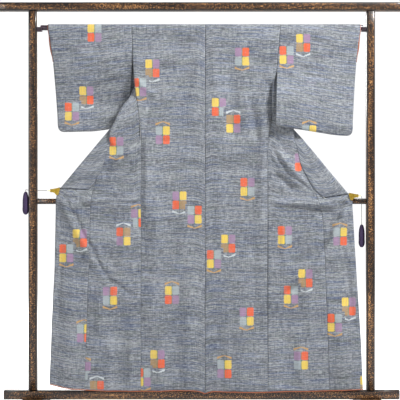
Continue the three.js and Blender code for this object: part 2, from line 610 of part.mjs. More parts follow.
function clip(side) {
  const shape = new THREE.Shape(JAW_OUTLINE.map(([x, z]) => new THREE.Vector2(x, z)));
  const jaw = (y) => {
    const plate = new THREE.ExtrudeGeometry(shape, { depth: JAW_WALL, bevelEnabled: false });
    return solid(plate.rotateX(Math.PI / 2).translate(0, y + JAW_WALL / 2, 0));
  };
  const rib = (y, tilt) => solid(new THREE.BoxGeometry(21, 1.2, 2.4).translate(-10.5, 0, 0).rotateY(tilt).translate(6, y, 0));
  const wing = (y, tilt) => solid(new THREE.BoxGeometry(15, 2.4, 14).rotateZ(tilt).translate(13, y, 0));
  const pivot = solid(new THREE.CylinderGeometry(4.6, 4.6, 17, 16).rotateX(Math.PI / 2).translate(5, 0, 0));
  const ring = solid(new THREE.TorusGeometry(5.5, 1.4, 8, 20).translate(25.5, 0, 0));
  const bridge = solid(new THREE.BoxGeometry(16, 3, 4).translate(14, 0, 0));
  let jaws = jaw(JAW_OUT).add(jaw(-JAW_OUT));
  for (const tilt of RIB_TILTS) {
    const y = JAW_OUT + JAW_WALL / 2 + 0.4;
    jaws = jaws.add(rib(y, tilt)).add(rib(-y, tilt));
  }
  let whole = jaws.rotate([0, -JAW_TILT, 0]).add(pivot).add(ring).add(bridge);
  whole = whole.add(wing(5, 0.18)).add(wing(-5, -0.18));
  const geometry = geometryOf(whole);
  if (side === 'left') geometry.rotateZ(Math.PI);
  return geometry;
}

function cord(points) {
  const path = new THREE.CatmullRomCurve3(points.map((p) => new THREE.Vector3(...p)), false, 'catmullrom', 0.3);
  const shape = new THREE.Shape();
  shape.absarc(0, 0, CORD_RADIUS, 0, 2 * Math.PI, false);
  return new THREE.ExtrudeGeometry(shape, { steps: 36, curveSegments: 4, extrudePath: path });
}

function weight() {
  const half = WEIGHT_LENGTH / 2;
  const profile = [[0, -half], [7, -half + 3], [WEIGHT_RADIUS, -half + 16], [WEIGHT_RADIUS, 8], [9, half - 10],
    [5, half - 2], [0, half]];
  const geometry = new THREE.LatheGeometry(profile.map(([x, y]) => new THREE.Vector2(x, y)), 18);
  return geometry.rotateX(Math.PI / 2);
}

// The whole object

const LACQUER = { color: 0x3a2a20, roughness: 0.35, metalness: 0 };
const DARK_ROD = { color: 0x2a1a24, roughness: 0.4, metalness: 0 };
const CLOTH = { color: 0x8a909a, roughness: 0.9, metalness: 0 };
const LINING = { color: 0xb8442a, roughness: 0.8, metalness: 0 };
const GOLD = { color: 0xd0aa3c, roughness: 0.3, metalness: 1 };
const PURPLE = { color: 0x33224f, roughness: 0.6, metalness: 0 };
const CORD_GREY = { color: 0x6a665e, roughness: 0.8, metalness: 0 };

const part = new THREE.Group();

function add(name, geometry, finish, position = [0, 0, 0]) {
  const mesh = new THREE.Mesh(geometry, new THREE.MeshStandardMaterial(finish));
  mesh.name = name;
  mesh.position.set(...position);
  part.add(mesh);
  return mesh;
}

const LOWER_RAIL_Z = FOOT_HIGH + SEAM_GAP + LOWER_RAIL_HIGH / 2;
const POST_LOW = FOOT_HIGH + LOWER_RAIL_HIGH + 2 * SEAM_GAP;
const POST_HIGH = TOP_BAR_Z - TOP_BAR_HIGH / 2 - SEAM_GAP;
const POST_LENGTH = POST_HIGH - POST_LOW;
const BETWEEN_POSTS = 2 * (POST_X - POST_WIDE / 2 - SEAM_GAP);

add('stand_top_bar', alongX(bar(TOP_BAR_LENGTH, TOP_BAR_HIGH, TOP_BAR_HIGH)), LACQUER, [0, 0, TOP_BAR_Z]);
add('stand_middle_rail', alongX(bar(BETWEEN_POSTS, MIDDLE_RAIL_HIGH, MIDDLE_RAIL_HIGH)), LACQUER, [0, 0, MIDDLE_RAIL_Z]);
add('stand_lower_rail', alongX(bar(LOWER_RAIL_LENGTH, LOWER_RAIL_HIGH, LOWER_RAIL_DEEP)), LACQUER, [0, 0, LOWER_RAIL_Z]);
const rod = new THREE.CylinderGeometry(ROD_RADIUS, ROD_RADIUS, ROD_LENGTH, 24).rotateZ(Math.PI / 2);
add('rod', rod, DARK_ROD, [0, 0, ROD_Z]);

for (const side of Object.keys(SIDES)) {
  const sign = SIDES[side];
  add(`stand_post_${side}`, bar(POST_LENGTH, POST_WIDE, POST_WIDE), LACQUER, [sign * POST_X, 0, (POST_LOW + POST_HIGH) / 2]);
  add(`stand_foot_${side}`, foot(), LACQUER, [sign * POST_X, 0, 0]);
  add(`rod_hook_${side}`, rodHook(), DARK_ROD, [sign * (BETWEEN_POSTS - HOOK_LENGTH) / 2, 0, ROD_Z]);
  const grid = bodyGrid(side).rows;
  add(`body_${side}`, body(side), CLOTH);
  add(`okumi_${side}`, wall(okumiGrid(side), WALL), CLOTH);
  add(`sleeve_${side}`, sleeve(side), CLOTH);
  add(`cuff_lining_${side}`, cuffLining(side), LINING);
  add(`hem_lining_back_${side}`, hemLining(grid[0]), LINING);
  add(`hem_lining_front_${side}`, hemLining(grid[grid.length - 1].slice(NECK_COLUMNS)), LINING);
  add(`hem_lining_okumi_${side}`, hemLining(okumiGrid(side).at(-1)), LINING);
}
add('collar', collar(), CLOTH);
add('over_collar', overCollar(), CLOTH);

const CLIPS = {
  left: { out: 634, y: -19, z: 930, weightX: -748.5, weightY: 0, weightTop: 926 },
  right: { out: 628, y: -19, z: 908, weightX: 683, weightY: 17, weightTop: 786 },
};
const CORDS = {
  left: [[-654, -19, 930], [-690, 6, 931], [-700, 19.6, 931], [-716, 20.3, 931], [-734, 20, 931.5],
    [-748.5, 9, 934], [-748.5, 1, 932.5], [-748.5, 0, 926.8]],
  right: [[676, -19, 905], [679, -12, 901], [681, 0, 899], [683, 14, 897], [683, 17, 886], [683, 17, 830],
    [683, 17, 786.4]],
};
for (const [side, row] of Object.entries(CLIPS)) {
  add(`clip_${side}`, clip(side), GOLD, place(side, row.out, row.y, row.z).toArray());
  add(`cord_${side}`, cord(CORDS[side]), CORD_GREY);
  add(`weight_${side}`, weight(), PURPLE, [row.weightX, row.weightY, row.weightTop - WEIGHT_LENGTH / 2]);
}

export default part;
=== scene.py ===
import math

import bmesh
import bpy
import numpy as np
from bpy.props import FloatProperty, FloatVectorProperty, IntProperty, PointerProperty
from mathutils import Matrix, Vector


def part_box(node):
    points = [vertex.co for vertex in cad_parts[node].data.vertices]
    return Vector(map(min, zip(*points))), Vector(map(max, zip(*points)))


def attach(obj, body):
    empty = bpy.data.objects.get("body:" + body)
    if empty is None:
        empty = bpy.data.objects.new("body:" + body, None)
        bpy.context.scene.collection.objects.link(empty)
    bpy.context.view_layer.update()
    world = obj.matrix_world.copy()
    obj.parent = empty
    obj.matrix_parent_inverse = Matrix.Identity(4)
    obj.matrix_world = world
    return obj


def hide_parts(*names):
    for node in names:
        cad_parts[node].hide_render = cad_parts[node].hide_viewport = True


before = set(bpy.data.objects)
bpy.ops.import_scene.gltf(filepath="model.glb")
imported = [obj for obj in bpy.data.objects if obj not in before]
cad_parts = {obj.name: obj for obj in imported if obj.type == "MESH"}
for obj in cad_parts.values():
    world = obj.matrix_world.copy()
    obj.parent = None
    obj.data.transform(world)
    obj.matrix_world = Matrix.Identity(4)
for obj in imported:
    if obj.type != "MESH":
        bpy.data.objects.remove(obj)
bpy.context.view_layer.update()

bl_info = {
    "name": "Tsumugi kimono on a stand",
    "version": (1, 0, 0),
    "blender": (4, 2, 0),
    "location": "View3D > Sidebar > Kimono",
    "description": "Makes a lined tsumugi kimono, seen from behind on its lacquered stand",
    "category": "Object",
}

MM = 0.001

# ---------------------------------------------------------------- sizes of the garment, in mm

CENTRE_X = 14.0
DRAPE_RADIUS = 14.2
SEAM_HOLD = 26.0
ROD_Z = 1623.0
ROD_RADIUS = 11.5
ROD_LENGTH = 1370.0
NECK_HALF = 90.0
NECK_Z = 1598.0
SEAM_GAP = 0.1
COLLAR_WALL = 2.6
OVER_COLLAR_WALL = 1.1
COLLAR_SPACING = 4.6
CUFF_Z = 1473.0
SLEEVE_CORNER = 21.0
SIDES = {"left": -1, "right": 1}
OVER_ROD = (0, 30, 60, 90, 120, 150, 180)

BACK_ROWS_Z = (1585, 1540, 1481, 1424, 1332, 1250, 1171, 1080, 990, 925, 885, 845, 760, 660, 550, 440,
               330, 220, 130)

# The collar's free edge and sewn edge: distance out from the centre seam, depth, height.
COLLAR = {
    "left": [
        (0, 19, 1543, 0, 16, 1597), (50, 19, 1543, 72, 16, 1597), (78, 20, 1520, 112, 17, 1571),
        (150, 21, 1434, 192, 18, 1474), (208, 22, 1366, 250, 18, 1404), (248, 24, 1322, 286, 18, 1358),
        (288, 28, 1276, 318, 8, 1308), (334, 27, 1250, 336, -2, 1258), (372, 18, 1229, 350, -9, 1210),
        (401, 3, 1196, 374, -12, 1165), (442, -10, 1146, 410, -14, 1112), (489, -15, 1089, 430, -17, 1045),
        (544, -18, 1023, 457, -18, 985), (584, -19, 974, 473, -19, 956), (612, -19, 941, 495, -19, 936),
    ],
    "right": [
        (0, 19, 1543, 0, 16, 1597), (46, 19, 1543, 72, 16, 1597), (70, 20, 1518, 108, 17, 1570),
        (136, 21, 1432, 180, 18, 1470), (190, 22, 1364, 234, 18, 1400), (230, 24, 1318, 272, 18, 1354),
        (268, 28, 1272, 304, 8, 1304), (312, 27, 1246, 322, -2, 1256), (348, 18, 1226, 338, -9, 1210),
        (377, 3, 1191, 368, -12, 1168), (420, -10, 1142, 388, -14, 1115), (470, -15, 1082, 408, -17, 1031),
        (530, -18, 1008, 430, -18, 986), (572, -19, 958, 458, -19, 940), (606, -19, 918, 497, -19, 900),
    ],
}

# The front panel's upper rows: side edge height and depth, how far the soft fold stands past it,
# the fold's depth, height and tuck, the collar seam's height, and the depth of the gathers.
UPPER_FRONT = [
    (1560, 15, 0, 15, 1560, 0, 1557, 2), (1500, 14, 0, 16, 1501, 0, 1500, 4),
    (1440, 12, 0, 15, 1442, 0, 1444, 6), (1390, 8, 0, 13, 1394, 0, 1399, 5),
    (1352, 0, 14, 8, 1356, 2, 1364, 0), (1324, -12, 30, -6, 1326, 6, 1332, 0),
    (1296, -16, 58, -16, 1294, 8, 1296, 0), (1262, -17, 84, -21, 1258, 8, 1254, 0),
    (1228, -17, 104, -22, 1222, 8, 1210, 0), (1192, -17, 126, -23, 1184, 7, 1170, 0),
    (1150, -17, 131, -21, 1141, 4, 1134, 0),
]
LOWER_FRONT_Z = (1100, 1050, 1010, 975, 940, 912, 890, 870, 840, 780, 700, 610, 500, 380, 260, 160, 85)
FOLD_REACH = {"left": 1.0, "right": 0.8}

# Edges as (height, distance out) and the hem as (distance out, height).
BACK_EDGE = {
    "left": [(60, 272), (1171, 272), (1250, 281), (1332, 292), (1424, 302), (1481, 306), (1640, 312)],
    "right": [(60, 265), (1128, 265), (1250, 285), (1323, 298), (1390, 299), (1473, 306), (1640, 320)],
}
OKUMI_SEAM = {
    "left": [(60, 512), (610, 492), (870, 485), (912, 480), (985, 457)],
    "right": [(60, 527), (500, 512), (780, 500), (840, 492), (890, 477), (940, 449), (986, 430)],
}
FRONT_EDGE = {
    "left": [(60, 658), (380, 648), (600, 637), (885, 631), (930, 626)],
    "right": [(60, 669), (300, 660), (600, 640), (870, 624), (930, 622)],
}
HEM = {
    "left": [(0, 74), (24, 83), (60, 87), (180, 84), (400, 84), (480, 88), (560, 94), (610, 103), (660, 115)],
    "right": [(0, 74), (30, 82), (120, 81), (220, 79), (450, 84), (570, 88), (670, 92)],
}
SLEEVE_INNER = {
    "left": [(1180, 330), (1400, 315), (1481, 306), (1640, 312)],
    "right": [(1180, 296), (1323, 299), (1473, 306), (1640, 320)],
}
SLEEVE_OUTER = {
    "left": [(1170, 622), (1294, 630), (1460, 642), (1613, 664), (1640, 668)],
    "right": [(1160, 622), (1273, 627), (1379, 633), (1477, 642), (1570, 652), (1640, 661)],
}
SLEEVE_BOTTOM = {
    "left": [(320, 1207), (400, 1196), (484, 1185), (622, 1181)],
    "right": [(290, 1203), (378, 1192), (446, 1183), (574, 1165), (622, 1163)],
}
SLEEVE_SWING = {"left": (46, 12), "right": (-47, -12)}
SLEEVE_DEPTH = [(1150, 8.5), (1380, 9.5), (1480, 12), (1623, 15.2)]
SLEEVE_HEIGHTS = (0, 1.5, 5, 12, 21, 60, 110, 170, 230, 290, 340, 400)

# Every fold is built deeper than its row below says, by its panel and by how wide it is.
PANEL_GAIN = {"front": 1.55, "back": 1.25, "sleeve": 1.2}
NARROW_WIDTH, NARROW_GAIN = 13, 1.6
MIDDLE_WIDTH, MIDDLE_GAIN = 20, 1.625
BROAD_GAIN = 1.5
# The clips pull the fronts hardest: their finest creases are wider and deeper, and so are fine troughs.
FINE_WIDTH, FINE_WIDER, FINE_GAIN = 10, 2, 1.25
TROUGH_WIDTH, TROUGH_GAIN = 14, 1.2

# Soft troughs and ridges: panel, start (out, height), end (out, height), width, and how far the
# cloth stands out (a trough is negative). The broad ones come first, then the sharper creases.
FOLDS = {
    "left": [
        ("back", 262, 1200, 250, 820, 30, 6), ("back", 205, 900, 228, 330, 34, 6),
        ("back", 120, 420, 140, 60, 42, -5), ("back", 60, 620, 70, 60, 30, 4),
        ("front", 292, 1150, 402, 984, 22, 7), ("front", 402, 984, 590, 930, 18, 6),
        ("front", 280, 884, 500, 882, 22, 7), ("front", 610, 900, 500, 700, 30, 7),
        ("front", 500, 700, 400, 540, 36, 6), ("front", 560, 520, 590, 90, 38, 5),
        ("front", 360, 420, 372, 90, 42, -4),
        ("back", 181, 667, 251, 582, 13, -4), ("back", 8, 584, 262, 580, 7, -1.4),
        ("back", 10, 1148, 200, 1142, 8, -1.6), ("back", 236, 1290, 262, 1130, 11, -3),
        ("back", 210, 1330, 296, 1405, 12, 2.5), ("back", 30, 1560, 44, 1200, 22, 2),
        ("back", 96, 900, 86, 640, 26, 3), ("back", 176, 360, 196, 70, 20, 3),
        ("front", 329, 1077, 399, 997, 8, -3.5), ("front", 399, 997, 501, 931, 8, -3.5),
        ("front", 300, 1010, 380, 940, 12, -3), ("front", 520, 872, 276, 880, 6, -3),
        ("front", 604, 905, 552, 827, 9, -4), ("front", 552, 827, 489, 699, 9, -4),
        ("front", 489, 699, 404, 550, 11, -3.5), ("front", 404, 550, 312, 487, 13, -3),
        ("front", 312, 487, 276, 512, 13, -2), ("front", 622, 930, 540, 906, 7, 3),
        ("front", 618, 916, 566, 846, 8, 3), ("front", 340, 800, 352, 620, 16, 2.5),
        ("front", 440, 520, 452, 330, 18, 2.5), ("front", 610, 700, 622, 380, 14, -2.5),
        ("front", 402, 300, 412, 90, 16, 3), ("front", 308, 330, 318, 90, 14, 3),
        ("sleeve", 350, 1440, 470, 1385, 16, 2.4), ("sleeve", 360, 1300, 600, 1330, 22, -2.2),
        ("sleeve", 610, 1560, 470, 1490, 16, 2), ("sleeve", 420, 1600, 430, 1470, 20, 1.6),
        ("sleeve", 540, 1290, 560, 1200, 16, 2),
    ],
    "right": [
        ("back", 250, 1260, 244, 780, 32, 6), ("back", 110, 1500, 118, 1120, 34, -5),
        ("back", 150, 520, 160, 60, 44, 5),
        ("front", 286, 1120, 388, 976, 22, 8), ("front", 388, 976, 560, 905, 20, 7),
        ("front", 300, 876, 560, 870, 20, 7), ("front", 592, 840, 500, 660, 28, 7),
        ("front", 500, 660, 390, 520, 36, 6), ("front", 560, 460, 590, 90, 38, 5),
        ("front", 340, 400, 350, 90, 42, -4),
        ("back", 188, 1325, 226, 1140, 17, -4), ("back", 236, 1420, 290, 1345, 12, -2.5),
        ("back", 8, 566, 250, 560, 7, -1.4), ("back", 14, 1170, 180, 1160, 8, -1.4),
        ("back", 60, 980, 70, 700, 24, 3), ("back", 204, 700, 214, 420, 18, -3),
        ("back", 90, 420, 96, 70, 20, 3), ("back", 36, 1540, 40, 1300, 20, 2),
        ("front", 272, 1135, 345, 1018, 8, -3.5), ("front", 345, 1018, 455, 926, 8, -3.5),
        ("front", 298, 1005, 372, 930, 12, -3), ("front", 520, 850, 280, 868, 6, -3),
        ("front", 596, 880, 548, 800, 9, -4), ("front", 548, 800, 486, 672, 9, -4),
        ("front", 486, 672, 396, 530, 11, -3.5), ("front", 396, 530, 300, 470, 13, -3),
        ("front", 616, 906, 540, 886, 7, 3), ("front", 612, 894, 570, 824, 8, 3),
        ("front", 330, 780, 344, 600, 16, 2.5), ("front", 430, 500, 446, 300, 18, 2.5),
        ("front", 600, 640, 624, 360, 14, -2.5), ("front", 396, 300, 410, 90, 16, 3),
        ("sleeve", 330, 1450, 450, 1380, 16, 2.2), ("sleeve", 340, 1280, 590, 1300, 22, -2.2),
        ("sleeve", 600, 1570, 480, 1500, 16, 2), ("sleeve", 520, 1290, 500, 1190, 18, 2),
    ],
}

# Woven marks: four blocks with a bird's wings under or over them. Panel, place of the middle,
# colours of the blocks (top left, top right, bottom left, bottom right), bird, and its place.
# Y yellow, M mauve, T tan, C coral, G grey; bird W white, B beige, - none.
MARKS = [
    ("sleeve_left", -454, 1599, "YGCM", "B", "over"), ("sleeve_left", -492, 1337, "YMTC", "W", "under"),
    ("sleeve_left", -553, 1267, "CGYM", "B", "under"),
    ("back_left", -209, 1448, "YMTC", "W", "under"), ("back_left", -264, 1368, "CGYM", "B", "under"),
    ("back_left", -165, 1165, "GYMC", "B", "over"), ("back_left", -94, 889, "MYCT", "W", "under"),
    ("back_left", -30, 828, "GCMY", "B", "under"), ("back_left", -126, 488, "YGCM", "B", "over"),
    ("back_left", -187, 218, "YMTC", "W", "under"), ("back_left", -246, 141, "CGYM", "B", "under"),
    ("front_left", -361, 1119, "CMYG", "B", "under"), ("front_left", -269, 814, "MYGC", "B", "over"),
    ("front_left", -331, 736, "CTMY", "W", "over"), ("front_left", -388, 485, "MCGY", "B", "under"),
    ("front_left", -499, 168, "YMCG", "B", "over"), ("front_left", -443, 88, "TCYM", "W", "over"),
    ("okumi_left", -515, 729, "YMTC", "W", "under"), ("okumi_left", -573, 665, "CGYM", "B", "under"),
    ("okumi_left", -498, 327, "GYMC", "B", "over"),
    ("back_right", 171, 1498, "MCGY", "B", "under"), ("back_right", 73, 1284, "YMCG", "-", "under"),
    ("back_right", 134, 1214, "TCYM", "W", "over"), ("back_right", 194, 946, "CMYG", "B", "under"),
    ("back_right", 112, 706, "YMTC", "W", "under"), ("back_right", 52, 640, "CGYM", "B", "under"),
    ("back_right", 190, 398, "MCGY", "B", "under"), ("back_right", 96, 176, "GYMC", "B", "over"),
    ("front_right", 424, 1050, "M-C-", "-", "under"), ("front_right", 352, 742, "CMYG", "B", "under"),
    ("front_right", 438, 560, "YMTC", "W", "under"), ("front_right", 378, 490, "CGYM", "B", "under"),
    ("front_right", 420, 212, "MCGY", "B", "over"),
    ("okumi_right", 585, 736, "GYMC", "B", "over"), ("okumi_right", 622, 440, "YMTC", "W", "under"),
    ("okumi_right", 562, 372, "CGYM", "B", "under"), ("okumi_right", 700, 108, "YMTC", "W", "under"),
    ("sleeve_right", 430, 1556, "YMTC", "W", "under"), ("sleeve_right", 360, 1505, "CGYM", "B", "under"),
    ("sleeve_right", 453, 1167, "GYMC", "B", "over"),
    ("sleeve_rear_left", -430, 1480, "MCGY", "B", "under"),
    ("sleeve_rear_left", -540, 1300, "YMTC", "W", "over"),
    ("sleeve_rear_right", 540, 1500, "CMYG", "B", "under"),
    ("sleeve_rear_right", 400, 1290, "YMTC", "W", "under"),
    ("rear_left", -190, 1540, "YMTC", "W", "under"), ("rear_left", -230, 1420, "MCGY", "B", "under"),
    ("rear_right", 200, 1500, "CMYG", "B", "over"), ("rear_right", 260, 1380, "YMTC", "W", "under"),
]
DYE_ORDER = "-YMTCG"
BIRD_ORDER = "WB-"
MARK_HALF_WIDE = 40
MARK_ABOVE = 48
MARK_REACH = 72
NO_MARK = (0.4, 0.4)

# Clips, cords and weights
CLIP_GRIP = {"left": (620, 926), "right": (614, 904)}
CLIP_REACH = 38.0
CORDS = {
    "left": [(-654, -19, 930), (-690, 6, 931), (-700, 19.6, 931), (-716, 20.3, 931), (-734, 20, 931.5),
             (-748.5, 9, 934), (-748.5, 1, 932.5), (-748.5, 0, 926.8)],
    "right": [(676, -19, 905), (679, -12, 901), (681, 0, 899), (683, 14, 897), (683, 17, 886),
              (683, 17, 830), (683, 17, 786.4)],
}
WEIGHTS = {"left": (-748.5, 0, 926), "right": (683, 17, 786)}
WEIGHT_LENGTH = 98.0
WEIGHT_PROFILE = [(0, -49), (3.6, -48.4), (7, -46), (10.6, -41), (13, -33), (13, -12), (13, 8), (11.6, 26),
                  (9, 39), (5.4, 47), (2.6, 48.8), (0, 49)]


# ---------------------------------------------------------------- settings

class ClothSettings(bpy.types.PropertyGroup):
    """Sizes and colours of the cloth"""
    wall: FloatProperty(name="Cloth wall", description="Thickness of the cloth with its lining",
                        default=0.0018, min=0.001, max=0.003, unit="LENGTH")
    spacing: FloatProperty(name="Mesh spacing", description="Distance between the cloth's points",
                           default=0.0056, min=0.003, max=0.02, unit="LENGTH")
    dark: FloatVectorProperty(name="Dark yarn", description="Navy charcoal weft yarn", size=3,
                              subtype="COLOR", default=(0.225, 0.24, 0.28))
    middle: FloatVectorProperty(name="Middle yarn", description="Blue grey yarn", size=3,
                                subtype="COLOR", default=(0.375, 0.392, 0.425))
    pale: FloatVectorProperty(name="Pale yarn", description="Pale slub yarn", size=3,
                              subtype="COLOR", default=(0.575, 0.59, 0.61))
    lining: FloatVectorProperty(name="Lining", description="Rust orange lining silk", size=3,
                                subtype="COLOR", default=(0.6, 0.29, 0.115))


class StandSettings(bpy.types.PropertyGroup):
    """Sizes and colours of the stand"""
    edge_round: FloatProperty(name="Edge rounding", description="Radius of the bars' long edges",
                              default=0.009, min=0.001, max=0.012, unit="LENGTH")
    lacquer: FloatVectorProperty(name="Lacquer", description="Dark brown lacquer", size=3,
                                 subtype="COLOR", default=(0.135, 0.085, 0.055))
    cord_strands: IntProperty(name="Cord strands", description="Strands twisted into each cord",
                              default=3, min=2, max=5)


# ---------------------------------------------------------------- colours and nodes

MATH = "ShaderNodeMath"
VECTOR = "ShaderNodeVectorMath"
NOISE = "ShaderNodeTexNoise"
RAMP = "ShaderNodeValToRGB"

def colour(value):
    """An sRGB hex value, or three sRGB shares, as a linear colour."""
    if isinstance(value, str):
        value = [int(value[i:i + 2], 16) / 255 for i in (1, 3, 5)]
    linear = [c / 12.92 if c <= 0.04045 else ((c + 0.055) / 1.055) ** 2.4 for c in value]
    return (*linear, 1.0)


def add(tree, kind, inputs=None, stops=(), **settings):
    """Adds a node, sets it up and links it. An input may be a value, a socket or a node.

    Stops are the places and colours of a node that has a ramp.
    """
    made = tree.nodes.new(kind)
    for key, value in settings.items():
        setattr(made, key, value)
    for key, value in (inputs or {}).items():
        if isinstance(value, bpy.types.Node):
            value = value.outputs[0]
        if isinstance(value, bpy.types.NodeSocket):
            tree.links.new(value, made.inputs[key])
        else:
            made.inputs[key].default_value = value
    if stops:
        elements = made.color_ramp.elements
        while len(elements) < len(stops):
            elements.new(0.5)
        for element, (place, shade) in zip(elements, stops):
            element.position = place
            element.color = shade
    return made


def streaks(tree, source, repeats, detail=2.0):
    """Noise drawn out along the cloth or wood, by its repeats a metre in each direction."""
    scaled = add(tree, VECTOR, {0: source, 1: repeats}, operation="MULTIPLY")
    return add(tree, NOISE, {"Vector": scaled, "Scale": 1.0, "Detail": detail})


def new_material(name):
    material = bpy.data.materials.new(name)
    material.use_nodes = True
    tree = material.node_tree
    tree.nodes.clear()
    return material, tree


def finish_material(tree, inputs):
    shader = add(tree, "ShaderNodeBsdfPrincipled", inputs)
    add(tree, "ShaderNodeOutputMaterial", {"Surface": shader})


# Each kind of unevenness: repeats a metre across and up, detail, and how strongly it changes the tone.
# Real threads are too fine to show, so weft and warp are drawn 4 mm apart.
YARNS = {
    "slub": (9, 225, 2.0, 1.15),
    "dash": (60, 240, 1.0, 1.2),
    "warp": (260, 18, 1.0, 0.55),
    "nub": (210, 250, 1.0, 0.5),
    "band": (1.2, 17, 3.0, 0.65),
}
# The marks in metres: a block's middle and straight half sides, its rounding, and how far the dye creeps.
BLOCK_MIDDLE = (0.0155, 0.0195)
BLOCK_HALF = (0.0086, 0.0126)
BLOCK_EDGE = (0.0048, 0.0064)
DYE_CREEP = (0.008, 0.007)
DYE_STEPS = 8
TINT_SHARE = 0.2


def tsumugi_silk():
    """Tsumugi, hand-spun slubbed silk in plain weave, with ikat-dyed marks.

    Its uneven yarns give a matt, streaky surface, and the dye creeps along them at a mark's edges.
    """
    cloth = bpy.context.scene.kimono_cloth
    material, tree = new_material("tsumugi silk")
    uv = add(tree, "ShaderNodeUVMap", uv_map="cloth")

    cloth_uv = uv.outputs["UV"]
    noises = {}
    tone = 0.5 - sum(row[3] for row in YARNS.values()) / 2
    for name, (across, up, detail, share) in YARNS.items():
        noises[name] = streaks(tree, cloth_uv, (across, up, 1.0), detail)
        tone = add(tree, MATH, {0: noises[name], 1: share, 2: tone}, operation="MULTIPLY_ADD")
    base = add(tree, RAMP, {"Fac": tone}, [
        (0.12, colour(cloth.dark)), (0.46, colour(cloth.middle)), (0.58, colour((0.455, 0.47, 0.495))),
        (0.88, colour(cloth.pale))])
    tints = add(tree, RAMP, {"Fac": streaks(tree, cloth_uv, (7, 150, 1.0))}, [
        (0.36, colour("#41598a")), (0.45, colour("#666f7e")), (0.53, colour("#7c766b")),
        (0.60, colour("#64765f")), (0.68, colour("#786682"))])
    base = add(tree, "ShaderNodeMix", {0: TINT_SHARE, 6: base.outputs["Color"], 7: tints.outputs["Color"]},
               data_type="RGBA")

    # The mark's own coordinates, in metres from its middle; whole numbers added to u tell the bird.
    mark_uv = add(tree, "ShaderNodeUVMap", uv_map="kasuri")
    mark = add(tree, "ShaderNodeSeparateXYZ", {0: mark_uv.outputs["UV"]})
    bird_kind = add(tree, MATH, {0: add(tree, MATH, {0: mark.outputs["X"], 1: 0.5}, operation="ADD")},
                    operation="FLOOR")
    raw_u = add(tree, MATH, {0: mark.outputs["X"], 1: bird_kind}, operation="SUBTRACT")
    fuzz_u = add(tree, MATH, {0: streaks(tree, cloth_uv, (25, 700, 1.0), 1.0), 1: 0.5}, operation="SUBTRACT")
    fuzz_v = add(tree, MATH, {0: streaks(tree, cloth_uv, (600, 20, 1.0), 1.0), 1: 0.5}, operation="SUBTRACT")
    u = add(tree, MATH, {0: fuzz_u, 1: DYE_CREEP[0], 2: raw_u}, operation="MULTIPLY_ADD")
    v = add(tree, MATH, {0: fuzz_v, 1: DYE_CREEP[1], 2: mark.outputs["Y"]}, operation="MULTIPLY_ADD")
    abs_u = add(tree, MATH, {0: u}, operation="ABSOLUTE")
    abs_v = add(tree, MATH, {0: v}, operation="ABSOLUTE")
    past_block = []
    for way, middle, half in zip((abs_u, abs_v), BLOCK_MIDDLE, BLOCK_HALF):
        off = add(tree, MATH, {0: way, 1: middle}, operation="SUBTRACT")
        off = add(tree, MATH, {0: off}, operation="ABSOLUTE")
        past_block.append(add(tree, MATH, {0: off, 1: half}, operation="SUBTRACT"))
    corner = add(tree, "ShaderNodeCombineXYZ", dict(enumerate(past_block)))
    outside = add(tree, VECTOR, {0: corner, 1: (0, 0, 0)}, operation="MAXIMUM")
    distance = add(tree, VECTOR, {0: outside}, operation="LENGTH")
    block = add(tree, "ShaderNodeMapRange", {
        "Value": distance.outputs["Value"], "From Min": BLOCK_EDGE[0], "From Max": BLOCK_EDGE[1],
        "To Min": 1.0, "To Max": 0.0})

    dyes = add(tree, "ShaderNodeAttribute", attribute_name="dyes")
    dye = add(tree, "ShaderNodeSeparateColor", {0: dyes.outputs["Color"]})
    is_right = add(tree, MATH, {0: u, 1: 0.0}, operation="GREATER_THAN")
    is_low = add(tree, MATH, {0: v, 1: 0.0}, operation="LESS_THAN")
    upper = add(tree, "ShaderNodeMix", {0: is_right, 2: dye.outputs["Red"], 3: dye.outputs["Green"]})
    lower = add(tree, "ShaderNodeMix", {0: is_right, 2: dye.outputs["Blue"], 3: dyes.outputs["Alpha"]})
    which = add(tree, "ShaderNodeMix", {0: is_low, 2: upper, 3: lower})
    # None, yellow, mauve, tan, coral and grey: each dye's colour and how well it covers the ground
    shades = [("#70757e", 0), ("#cbae48", 0.98), ("#8d6f8c", 0.9), ("#947850", 0.9), ("#c9542c", 0.98),
              ("#969fa1", 0.8)]
    dyed = add(tree, RAMP, {"Fac": which}, [(max(0, (k - 0.5) / DYE_STEPS), (*colour(shade)[:3], share))
                                            for k, (shade, share) in enumerate(shades)])
    dyed.color_ramp.interpolation = "CONSTANT"
    thread = add(tree, "ShaderNodeMapRange", {
        "Value": noises["warp"], "From Min": 0.3, "From Max": 0.7, "To Min": 1.0, "To Max": 0.66})
    present = add(tree, MATH, {0: which, 1: 0.06}, operation="GREATER_THAN")
    cover = add(tree, MATH, {0: block, 1: dyed.outputs["Alpha"]}, operation="MULTIPLY")
    cover = add(tree, MATH, {0: cover, 1: thread}, operation="MULTIPLY")
    # A green thread runs up between the two columns of blocks.
    green = add(tree, "ShaderNodeMapRange", {
        "Value": abs_u, "From Min": 0.0008, "From Max": 0.0026, "To Min": 0.75, "To Max": 0.0})
    inside = add(tree, MATH, {0: abs_v, 1: 0.038}, operation="LESS_THAN")
    green = add(tree, MATH, {0: green, 1: inside}, operation="MULTIPLY")
    green = add(tree, MATH, {0: green, 1: present}, operation="MULTIPLY")
    for share, shade in ((green, colour("#4c7354")), (cover, dyed.outputs["Color"])):
        base = add(tree, "ShaderNodeMix", {0: share, 6: base.outputs[2], 7: shade}, data_type="RGBA")

